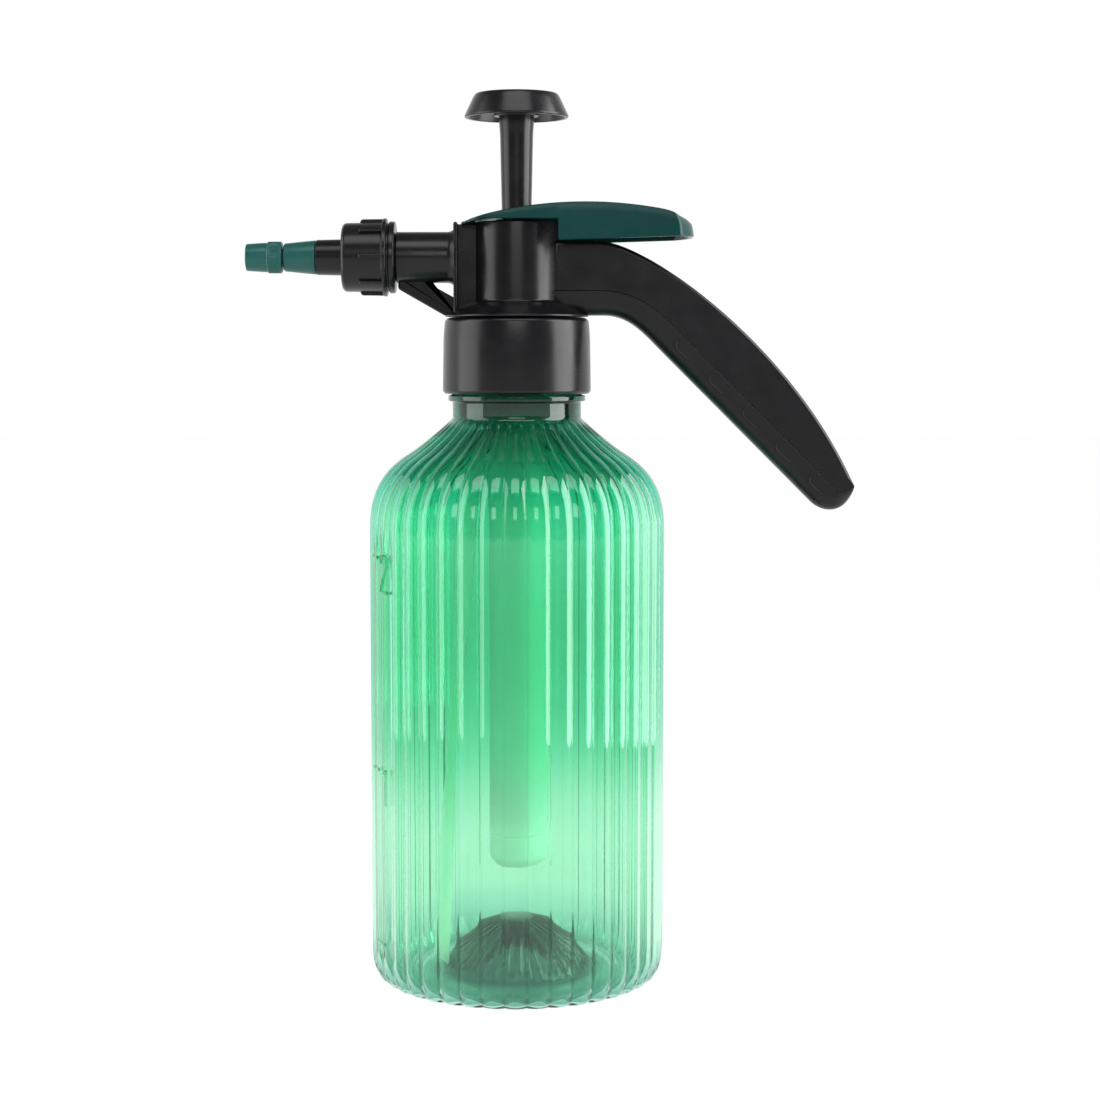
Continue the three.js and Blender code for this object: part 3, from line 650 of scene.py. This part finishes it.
valve_box()
lathe(
    "nozzle_tube",
    rounded(
        [
            (TUBE_BORE, 30.0), (TUBE_BORE, 62.0, 0.2), (9.6, 62.0, 0.4), (9.6, 49.2, 0.2),
            (TUBE_R, 49.2, 0.6), (TUBE_R, 27.5, 1.0), (TUBE_R + 1.3, 25.2), (TUBE_BORE, 25.2),
        ],
        4,
    ),
    "head", "black_plastic", (), 96, along_spray,
)
STRUT = rounded(
    [
        (-24.0, 278.0), (-24.0, 274.9, 0.3), (-29.0, 274.9, 1.6), (-48.6, 286.1, 1.0),
        (-48.6, 291.2, 0.3), (-35.4, 291.2, 0.4), (-37.0, 288.9, 0.8), (-25.0, 282.3, 0.5),
        (-24.0, 281.6),
    ],
    4,
)
side_plate("nozzle_strut", STRUT, [0.8] * len(STRUT), 2.4, "head", "black_plastic")

# ---- handle -------------------------------------------------------------------------------------

ROOT_X = 15.0
HANDLE_TIP = HEAD[1]
HANDLE_LOW, HANDLE_HIGH = 275.3, 305.5
GRIP_X, GRIP_Z, GRIP_RUN = 57.9, 262.3, 63.6  # the grip's straight underside, at 45 degrees
GRIP_STEPS = 40
SEAM_NOSE = (132.3, 202.9)
SEAM_BEND = (64.0, 271.0)
SEAM_TOP = 285.4
SEAM_GAP = 0.12
PAD_PITCH, PAD_START = 19.45, 6.6
SWELL_START = 142.1
GRIP_HALF = span("grip_cover")[3]
NOSE = (HANDLE_TIP - 0.15, 205.5)
BOTTOM = (
    [(ROOT_X, HANDLE_LOW), (30.0, HANDLE_LOW), (36.0, HANDLE_LOW)]
    + bezier((36.0, HANDLE_LOW), (45.0, HANDLE_LOW), (51.0, 269.5), (GRIP_X, GRIP_Z), 12)
    + [
        (GRIP_X + GRIP_RUN * k / GRIP_STEPS, GRIP_Z - GRIP_RUN * k / GRIP_STEPS)
        for k in range(1, GRIP_STEPS + 1)
    ]
    + bezier((GRIP_X + GRIP_RUN, GRIP_Z - GRIP_RUN), (126.8, 193.3), (137.2, 194.2), NOSE, 16)
)
TOP = bezier(NOSE, (113.4, 262.6), (53.0, HANDLE_HIGH), (33.0, HANDLE_HIGH), 44)
TOP.append((ROOT_X, HANDLE_HIGH))


def seam_line(drop):
    """The joint between shell and grip, from the nose to the tower."""
    (x, z), (bend_x, bend_z) = SEAM_NOSE, SEAM_BEND
    line = [(x - drop, z - drop / 2)]
    line += [(x - drop - (x - bend_x) * k / 20, z + (bend_z - z) * k / 20) for k in range(1, 21)]
    line += bezier(
        (bend_x - drop, bend_z), (55.0 - drop / 2, 280.3 - drop / 2), (46.0, SEAM_TOP - drop),
        (34.0, SEAM_TOP - drop), 12,
    )
    return line + [(ROOT_X, SEAM_TOP - drop)]


def handle():
    """The upper shell and the lower grip, which meet at the seam."""
    seam = seam_line(0.0)[::-1]
    outline = seam + [NOSE] + TOP
    radii = []
    for i, (_, z) in enumerate(outline):
        near_nose = smoothstep((209.0 - z) / 3.5)
        radii.append(0.3 if i <= len(seam) else 1.7 - 1.2 * near_nose)
    side_plate("handle_shell", outline, radii, GRIP_HALF, "head", "black_plastic", (), 50.0)
    seam = seam_line(SEAM_GAP)
    nose = (NOSE[0] - 0.02, NOSE[1] - SEAM_GAP)
    outline = BOTTOM[:-1] + [nose] + seam
    radii = []
    for i, (x, z) in enumerate(outline):
        if i >= len(BOTTOM) - 1:
            radii.append(0.3)
            continue
        wave = ((x - z) / math.sqrt(2) + SWELL_START) / PAD_PITCH
        swell = 0.7 * (wave % 1.0) if 0 < wave < 4.9 else 0.2
        toward_nose = smoothstep((z - 199.0) / 6.5) if x > 130 else 0.0
        radii.append((5.0 + swell) * (1 - toward_nose) + 0.5 * toward_nose)
    side_plate(
        "grip_shell", outline, radii, GRIP_HALF, "head", "grip_plastic", ["grip_cover"], 50.0
    )


def finger_pads():
    """Rims of the shallow finger rests on both sides of the grip."""
    along = Vector((1, -1)) / math.sqrt(2)
    out = Vector((1, 1)) / math.sqrt(2)
    base = Vector((GRIP_X, GRIP_Z))
    ridges = []
    for k in range(5):
        start = PAD_START + PAD_PITCH * k
        middle = base + along * start + out * 7.4
        arc = []
        for step in range(11):
            turn = math.radians(92 + 17.6 * step)
            arc.append(middle + along * math.cos(turn) * 3.0 + out * math.sin(turn) * 2.7)
        tail = base + along * (start + 6.0) + out * 5.0
        arc += [middle + along * 1.5 - out * 2.66, tail]
        for side in (-1, 1):
            route = [(p.x, side * (GRIP_HALF - 0.05), p.y) for p in arc]
            ridges.append(tube_mesh(route, 0.27, 8))
    points, faces = merged(ridges)
    return piece("finger_rests", points, faces, "head", "grip_plastic", (), 60.0)


handle()
finger_pads()

# ---- lever --------------------------------------------------------------------------------------

LEVER_SPAN = span("lever")
LEVER_LEFT, LEVER_RIGHT, LEVER_HALF = LEVER_SPAN[0], LEVER_SPAN[1], LEVER_SPAN[3]
LEVER_TOP = LEVER_SPAN[5]
ARC_R, APEX_X = 170.0, 28.0
STEP_X = 17.0
WALL = 1.6
PIVOT_X, PIVOT_Z = -19.5, 309.6
PRESS = math.radians(6.5)
ROD_HOLE_R, ROD_HOLE_X = 7.4, -0.35


def crown(x):
    """Height of the lever's arched top."""
    return LEVER_TOP - ARC_R + math.sqrt(ARC_R**2 - (x - APEX_X) ** 2)


def ceiling(x):
    """Underside of the crown, thinned at the back to clear the tower when the lever is pressed."""
    clear_of_tower = 313.35 + (x - PIVOT_X) * math.sin(PRESS)
    return max(crown(x) - WALL, min(crown(x) - 0.5, clear_of_tower))


def lever_plan():
    """Plan outline, anticlockwise, as (x, y)."""
    left, right, half = LEVER_LEFT, LEVER_RIGHT, LEVER_HALF

    def straight(x0, x1, y):
        stops = [x0 + (x1 - x0) * k / 24 for k in range(1, 24)]
        stops += [STEP_X - 0.03, STEP_X + 0.03]
        return [(x, y) for x in sorted(stops, reverse=x1 < x0)]

    plan = straight(left + 14, right - 9, -half)
    plan += rounded(
        [
            (right - 9, -half), (right - 6.0, -half, 2.6), (right, -half + 9.5, 5.0),
            (right, half - 9.5, 5.0), (right - 6.0, half, 2.6), (right - 9, half),
        ],
        6,
    )
    plan += straight(right - 9, left + 14, half)
    plan += quadratic((left + 14, half), (left, half), (left, half - 14), 12)
    plan += quadratic((left, -half + 14), (left, -half), (left + 14, -half), 12)
    return plan


def skirt(x):
    """Height of the lever's lower edge."""
    if x > STEP_X:
        return 305.2 + 1.8 * (x - STEP_X) / (LEVER_RIGHT - STEP_X)
    return 313.8 - 1.2 * smoothstep((-12 - x) / 10)


def lever():
    """The hood as rings: ceiling, inner wall, lower edge, outer wall and crown."""
    plan = lever_plan()
    count = len(plan)
    rows = []

    def draft(x, share):
        """How far the far end leans back, by height."""
        lean = 1.1 * share + 2.6 * max(0.0, share - 0.62) / 0.38
        return lean * smoothstep((x - 58.0) / (LEVER_RIGHT - 58.0))

    def ring(inset, level):
        moved = inset_ring(plan, [inset] * count)
        row = []
        for (x0, _), (x, y) in zip(plan, moved):
            z = level(x0)
            share = (z - skirt(x0)) / (crown(x0) - skirt(x0))
            row.append((x - draft(x0, min(max(share, 0), 1)), y, z))
        rows.append(row)

    def fill(row, level, order):
        for t in order:
            filled = []
            for x, y, _ in row:
                spine = min(max(x, LEVER_LEFT + 18), LEVER_RIGHT - 19)
                qx, qy = x + (spine - x) * t, y * (1 - t)
                filled.append((qx, qy, level(qx)))
            rows.append(filled)

    ring(WALL, ceiling)
    inner_rim = rows.pop()
    fill(inner_rim, ceiling, (1.0, 0.7, 0.4, 0.15))
    rows.append(inner_rim)
    ring(WALL, lambda x: skirt(x) + 0.3)
    ring(WALL - 0.3, skirt)
    ring(0.3, skirt)
    ring(0.0, lambda x: skirt(x) + 0.3)
    edge = 1.3
    for share in (0.3, 0.55, 0.8):
        ring(0.0, lambda x, s=share: skirt(x) + (crown(x) - edge - skirt(x)) * s)
    for k in range(7):
        turn = math.pi / 2 * k / 6
        ring(
            edge * (1 - math.cos(turn)),
            lambda x, t=turn: crown(x) - edge * (1 - math.sin(t)),
        )
    fill(rows[-1], crown, (0.12, 0.3, 0.5, 0.75, 1.0))
    points = [p for row in rows for p in row]
    faces = ring_faces(len(rows), count)
    hood = piece("lever_hood", points, faces, "lever", "lever_green", ["lever"], 40.0)
    drill(hood, ROD_HOLE_R, ROD_HOLE_X, 300.0, 330.0)
    return hood


def drill(thing, radius, x, low, high):
    """Cuts a round hole down through a piece."""
    bpy.ops.mesh.primitive_cylinder_add(
        vertices=64, radius=radius * MM, depth=(high - low) * MM,
        location=(x * MM + AXIS, 0, (low + high) / 2 * MM),
    )
    cutter = bpy.context.object
    modifier = thing.modifiers.new("rod_hole", "BOOLEAN")
    modifier.operation = "DIFFERENCE"
    modifier.solver = "EXACT"
    modifier.object = cutter
    bpy.context.view_layer.update()
    graph = bpy.context.evaluated_depsgraph_get()
    cut = bpy.data.meshes.new_from_object(thing.evaluated_get(graph))
    thing.modifiers.clear()
    thing.data = cut
    cut.set_sharp_from_angle(angle=math.radians(40))
    bpy.data.objects.remove(cutter, do_unlink=True)


def lever_leg():
    """Hub on the pin and the leg that pushes the valve stem."""
    leg = rounded(
        [
            (-21.9, 304.0), (-21.9, 297.3, 0.6), (-18.9, 297.3, 0.6), (-18.9, 306.5, 0.5),
            (-16.6, 308.0, 1.0), (-16.6, 313.4, 0.3), (-21.9, 313.4, 0.3), (-21.9, 305.0),
        ],
        3,
    )
    leg_points, leg_faces = rounded_plate(leg, [0.4] * len(leg), 3.9, 3)
    hub_turns = [2 * math.pi * k / 32 for k in range(32)]
    hub = [(PIVOT_X + 3.1 * math.cos(t), PIVOT_Z + 3.1 * math.sin(t)) for t in hub_turns]
    hub_points, hub_faces = rounded_plate(hub, [0.3] * len(hub), 4.1, 3)
    points, faces = merged([(leg_points, leg_faces), (hub_points, hub_faces)])
    return even_faces(
        piece("lever_leg", [(u, w, v) for u, v, w in points], faces, "lever", "lever_green")
    )


lever()
lever_leg()

# ---- pump ---------------------------------------------------------------------------------------

ROD = span("pump_rod")
KNOB = span("pump_knob")
lathe(
    "plunger_rod",
    rounded(
        [
            (0.0, 330.0), (4.6, 330.0), (4.6, ROD[4]), (6.1, ROD[4], 0.3), (6.1, 318.0, 4.0),
            (6.75, 349.0, 3.0), (7.1, 353.2, 1.0), (7.2, ROD[5]), (0.0, ROD[5]),
        ],
        4,
    ),
    "pump", "black_plastic", ["pump_rod"], 64,
)
lathe(
    "plunger_knob",
    rounded(
        [
            (0.0, 359.7), (7.5, 359.7), (7.5, 356.2, 0.2), (9.2, 356.0, 0.6), (9.0, 360.4, 1.0),
            (18.4, 360.6, 0.8), (19.7, KNOB[4], 0.4), (KNOB[1] - 0.25, KNOB[4], 0.35),
            (KNOB[1], KNOB[4] + 0.7, 0.4), (17.9, 363.4, 0.8), (16.8, KNOB[5] - 0.25, 0.9),
            (12.0, KNOB[5], 2.0), (0.0, KNOB[5]),
        ],
        5,
    ),
    "pump", "black_plastic", ["pump_knob"], 96,
)
BARREL = span("pump_barrel")
BARREL_R = 12.3
BARREL_BORE = 10.8
FLANGE_R, FLANGE_LOW, FLANGE_TOP = 26.4, 265.6, 268.6
lathe(
    "pump_tube",
    rounded(
        [
            (BARREL_BORE, 100.0), (BARREL_BORE, BARREL[4], 0.2), (BARREL_R, BARREL[4], 0.2),
            (BARREL_R, FLANGE_LOW, 0.8), (FLANGE_R, FLANGE_LOW, 0.4), (FLANGE_R, FLANGE_TOP, 0.4),
            (BARREL_R, FLANGE_TOP, 0.3), (BARREL_R, BARREL[5], 0.3), (BARREL_BORE, BARREL[5], 0.3),
            (BARREL_BORE, 120.0),
        ],
        3,
    ),
    "head", "natural_plastic", ["pump_barrel"], 80,
)
SEAT = span("foot_valve_seat")
lathe(
    "foot_valve_cup",
    rounded(
        [
            (0.0, 52.0), (9.2, 52.0, 0.3), (9.2, SEAT[4], 0.3), (10.2, SEAT[4], 0.4),
            (BARREL_R, SEAT[4] + 3.0, 1.6), (BARREL_R, 60.0, 0.3), (10.65, 60.0, 0.2),
            (10.65, 64.0, 0.3), (9.0, 64.0, 0.3), (9.0, 54.5, 0.6), (0.0, 54.5),
        ],
        4,
    ),
    "head", "natural_plastic", ["foot_valve_seat"], 80,
)
lathe(
    "foot_valve_disc",
    [(0.0, 50.0), (3.0, 50.02), (6.0, 50.2), (7.2, 51.0), (7.4, 51.7), (1.5, 51.75), (0.0, 51.8)],
    "head", "rubber", ["foot_valve_umbrella"], 48,
)
GUIDE = span("pump_guide_cap")
lathe(
    "rod_guide",
    rounded(
        [
            (6.4, 290.0), (6.4, GUIDE[4], 0.2), (10.55, GUIDE[4], 0.3),
            (10.55, GUIDE_SEAT + 0.3, 0.2), (14.9, GUIDE_SEAT + 0.3, 0.2), (14.9, GUIDE[5], 0.5),
            (8.2, GUIDE[5], 0.4), (6.4, GUIDE[5] - 1.0),
        ],
        3,
    ),
    "head", "black_plastic", ["pump_guide_cap"], 72,
)
PISTON = span("piston")
lathe(
    "piston_body",
    rounded(
        [
            (0.0, PISTON[4]), (10.4, PISTON[4], 0.8), (10.4, 71.4, 0.2), (8.2, 71.4), (8.2, 74.2),
            (10.4, 74.2, 0.2), (10.4, 79.7, 0.5), (4.35, 79.7), (4.35, PISTON[5]), (0.0, PISTON[5]),
        ],
        4,
    ),
    "pump", "black_plastic", ["piston"], 64,
)
lathe(
    "piston_seal_ring",
    rounded(
        [(8.5, 72.5), (8.5, 71.7), (10.65, 71.7, 0.5), (10.65, 73.9, 0.5), (8.5, 73.9)], 4
    ),
    "piston_seal", "rubber", ["piston_ring"], 64,
)
lathe(
    "neck_seal",
    rounded(
        [(22.6, 264.0), (22.6, 263.3), (26.2, 263.3, 0.4), (26.2, 265.3, 0.4), (22.6, 265.3)], 3
    ),
    "head", "rubber", ["neck_gasket"], 80,
)


DIP_KNOTS = [
    (-16.4, 0, 265), (-16.4, 0, 250), (-19.5, -2, 205), (-26, -5.5, 130), (-31, -8, 60),
    (-33.5, -9, 4),
]
DIP_OUTER_R, DIP_INNER_R = 3.0, 2.0
DIP_SIDES = 20
SLANT = math.tan(0.75)  # slope of the tube's cut lower end
SLANT_X, SLANT_Z = -33.2, 8.0


def smooth_route(knots, steps=8):
    """A smooth curve through the knots."""
    knots = [Vector(p) for p in knots]
    ends = [knots[0] * 2 - knots[1]] + knots + [knots[-1] * 2 - knots[-2]]
    route = []
    for i in range(1, len(knots)):
        a, b, c, d = ends[i - 1 : i + 3]
        for k in range(steps + (i == len(knots) - 1)):
            t = k / steps
            route.append(
                0.5
                * (2 * b + (c - a) * t + (2 * a - 5 * b + 4 * c - d) * t * t
                   + (3 * b - a - 3 * c + d) * t**3)
            )
    return route


def dip_tube():
    """The suction tube: straight out of its socket, then leaning to the bottle's wall."""
    route = smooth_route(DIP_KNOTS)
    last = len(route) - 1

    def ring(i, radius):
        ahead = (route[min(i + 1, last)] - route[max(i - 1, 0)]).normalized()
        side = ahead.cross(Vector((0, 1, 0))).normalized()
        up = side.cross(ahead).normalized()
        spots = []
        for k in range(DIP_SIDES):
            turn = 2 * math.pi * k / DIP_SIDES
            spot = route[i] + (side * math.cos(turn) + up * math.sin(turn)) * radius
            if i == last:
                slant = (spot.x - SLANT_X) * SLANT
                spot = spot - ahead * (spot.z - (SLANT_Z - slant)) / ahead.z
            spots.append(tuple(spot))
        return spots

    rings = [ring(i, DIP_OUTER_R) for i in range(last + 1)]
    rings += [ring(i, DIP_INNER_R) for i in range(last, -1, -1)]
    points = [spot for spots in rings for spot in spots]
    faces = ring_faces(len(rings), DIP_SIDES, closed=True)
    return piece("suction_tube", points, faces, "head", "natural_plastic", ["dip_tube"], 50.0)


dip_tube()

# ---- lance nut, lance and nozzle ----------------------------------------------------------------


NUT_RIBS = 8
NUT_BORE = 9.95


def lance_nut():
    """The nut turned as one ring, with its grip ribs."""
    profile = rounded(
        [
            (NUT_BORE, 58.0), (NUT_BORE, 49.6, 0.3), (14.6, 49.6, 0.7), (14.7, 51.9, 0.4),
            (14.0, 52.15, 0.15), (14.0, 52.8, 0.15), (15.9, 53.0, 0.5), (15.9, 54.6, 0.5),
            (14.25, 54.9, 0.3), (14.0, 70.2, 1.6), (12.8, 71.3, 0.5), (7.9, 71.3, 0.4),
            (7.9, 67.1, 0.2), (NUT_BORE, 67.1, 0.2), (NUT_BORE, 60.0),
        ],
        4,
    )
    lathe("nut_body", profile, "lance_nut", "black_plastic", ["lance_nut"], 120, along_spray)
    ribs = []
    for k in range(NUT_RIBS):
        turn = 2 * math.pi * k / NUT_RIBS
        outline = rounded(
            [
                (12.6, 58.0), (12.6, 54.2), (15.6, 54.2, 0.3), (15.5, 63.6, 0.8), (13.6, 64.4, 0.3),
                (12.6, 64.4),
            ],
            3,
        )
        points, faces = rounded_plate(outline, [0.3] * len(outline), 0.8, 3)
        turned = []
        for radius, height, across in points:
            y = radius * math.cos(turn) - across * math.sin(turn)
            z = radius * math.sin(turn) + across * math.cos(turn)
            turned.append((-height, y, SPRAY_Z + z))
        ribs.append((turned, faces))
    points, faces = merged(ribs)
    even_faces(piece("nut_ribs", points, faces, "lance_nut", "black_plastic"))


lance_nut()
lathe(
    "lance_body",
    rounded(
        [
            (3.0, 80.0), (3.0, 63.2), (9.5, 63.2, 0.3), (9.5, 66.8, 0.3), (7.5, 66.8, 0.4),
            (7.15, 82.0, 0.3), (4.3, 82.0, 0.2), (4.3, 88.0), (3.0, 88.0),
        ],
        4,
    ),
    "lance", "black_plastic", ["lance_tube"], 80, along_spray,
)
lathe(
    "nozzle_cone",
    rounded(
        [
            (4.6, 86.0), (4.6, 82.3, 0.2), (6.95, 82.3, 0.3), (6.85, 83.6, 0.3),
            (5.72, 95.0, 0.4), (4.9, 95.5, 0.3), (3.5, 95.5, 0.2), (3.5, 105.6), (1.6, 105.6),
            (1.6, 88.3), (4.6, 88.3),
        ],
        4,
    ),
    "lance", "nozzle_green", ["nozzle_base"], 80, along_spray,
)
CAP = span("nozzle_cap")
CAP_BORE, CAP_RING_R = 3.85, 6.45
KNURLS, KNURL_DEPTH = 44, 0.22


def knurl(radius, height, turn):
    """Fine grip ribs round the cap's back ring."""
    if 96.8 < height < 101.2 and radius > 5.5:
        return radius - KNURL_DEPTH * (0.5 - 0.5 * math.cos(turn * KNURLS))
    return radius


lathe(
    "nozzle_tip",
    rounded(
        [
            (CAP_BORE, 98.0), (CAP_BORE, 96.0), (5.9, 96.0, 0.3), (CAP_RING_R, 96.5, 0.3),
            *[(CAP_RING_R, height) for height in (97.0, 98.0, 99.0, 100.0, 101.0)],
            (CAP_RING_R, 101.7, 0.2), (6.0, 102.1, 0.2), (5.95, 104.0, 1.0),
            (5.5, -CAP[0] - 0.2, 0.6), (4.6, -CAP[0], 0.4), (2.2, -CAP[0], 0.4),
            (0.7, 109.4), (0.7, 107.3), (CAP_BORE, 107.3), (CAP_BORE, 100.0),
        ],
        4,
    ),
    "nozzle_cap", "nozzle_green", ["nozzle_cap"], 264, along_spray, knurl,
)

# ---- CAD pieces kept as they are, with better materials ------------------------------------------

SLOT_OF = {part["node"]: part["material_slot"] for part in frame["record"]["subparts"]}
for node, thing in frame["nodes"].items():
    if not thing.hide_render:
        for holder in thing.material_slots:
            holder.material = LOOK[SLOT_OF[node]]

# ---- floor, light and camera --------------------------------------------------------------------

MIDDLE = (AXIS, 0.0, 0.2)


def floor():
    """A wide matt floor that mostly glows by itself, as under a bright studio."""
    half = 6.0
    mesh = bpy.data.meshes.new("floor")
    mesh.from_pydata(
        [(-half, -half, 0), (half, -half, 0), (half, half, 0), (-half, half, 0)],
        [], [(0, 1, 2, 3)],
    )
    tree = material_tree("pale_floor")
    colour = tree.ramp(tree.noise(3.0), [(0.3, (0.115,) * 3), (0.7, (0.125,) * 3)])
    shader = tree.add(
        "ShaderNodeBsdfPrincipled",
        {
            "Base Color": colour, "Roughness": 0.9, "Specular IOR Level": 0.0,
            "Emission Color": (1, 1, 1, 1), "Emission Strength": 0.95,
        },
    )
    mesh.materials.append(tree.finish(shader.outputs["BSDF"]))
    placed("floor", mesh)


def softbox(name, place, size, watts):
    """A rectangular lamp aimed at the middle of the bottle."""
    lamp = bpy.data.lights.new(name, "AREA")
    lamp.shape = "RECTANGLE"
    lamp.size, lamp.size_y = size
    lamp.energy = watts
    thing = placed(name, lamp)
    thing.location = place
    thing.rotation_euler = (Vector(MIDDLE) - Vector(place)).to_track_quat("-Z", "Y").to_euler()
    thing.visible_camera = False


def surroundings():
    """A pale studio all round, a little darker on the camera's side; plain white where seen."""
    tree = Tree(bpy.data.worlds.new("studio"), "ShaderNodeOutputWorld")
    place = tree.add("ShaderNodeTexCoord").outputs["Generated"]
    parts = tree.add("ShaderNodeSeparateXYZ", {"Vector": place}).outputs
    behind = tree.mapped(parts["Y"], 0.0, 1.0, -0.7, 0.3)
    level = tree.mapped(parts["Z"], 0.0, 1.0, 0.7, 0.3)
    bright = tree.add("ShaderNodeMath", {0: behind, 1: level}, operation="MULTIPLY").outputs[0]
    shade = tree.ramp(bright, [(0.0, (0.2, 0.2, 0.21)), (1.0, (1.0, 1.0, 1.0))])
    lit = tree.add("ShaderNodeBackground", {"Color": shade})
    seen = tree.add("ShaderNodeBackground", {"Color": (1, 1, 1, 1)})
    ray = tree.add("ShaderNodeLightPath").outputs["Is Camera Ray"]
    mix = tree.add("ShaderNodeMixShader", {0: ray, 1: lit.outputs[0], 2: seen.outputs[0]})
    bpy.context.scene.world = tree.finish(mix.outputs[0])


floor()
surroundings()
softbox("softbox_left", (-0.58, -0.10, 0.34), (0.42, 0.8), 2.9)
softbox("softbox_right", (0.52, -0.08, 0.34), (0.44, 0.8), 6.6)
softbox("softbox_top", (0.0, -0.50, 1.20), (0.9, 0.5), 4.5)
softbox("softbox_front", (0.0, -1.20, 0.66), (0.6, 0.34), 2.0)

camera = bpy.data.cameras.new("camera")
camera.sensor_width = 36
camera.lens = 73.64
eye = placed("camera", camera)
eye.location = (AXIS + 0.01365, -0.930, 0.2604)
eye.rotation_euler = (math.radians(90 - 5.03), 0, 0)

scene = bpy.context.scene
scene.camera = eye
scene.view_settings.view_transform = "Standard"
scene.cycles.max_bounces = 24
scene.cycles.transmission_bounces = 20
scene.cycles.transparent_max_bounces = 24
scene.cycles.glossy_bounces = 8
scene.cycles.diffuse_bounces = 4
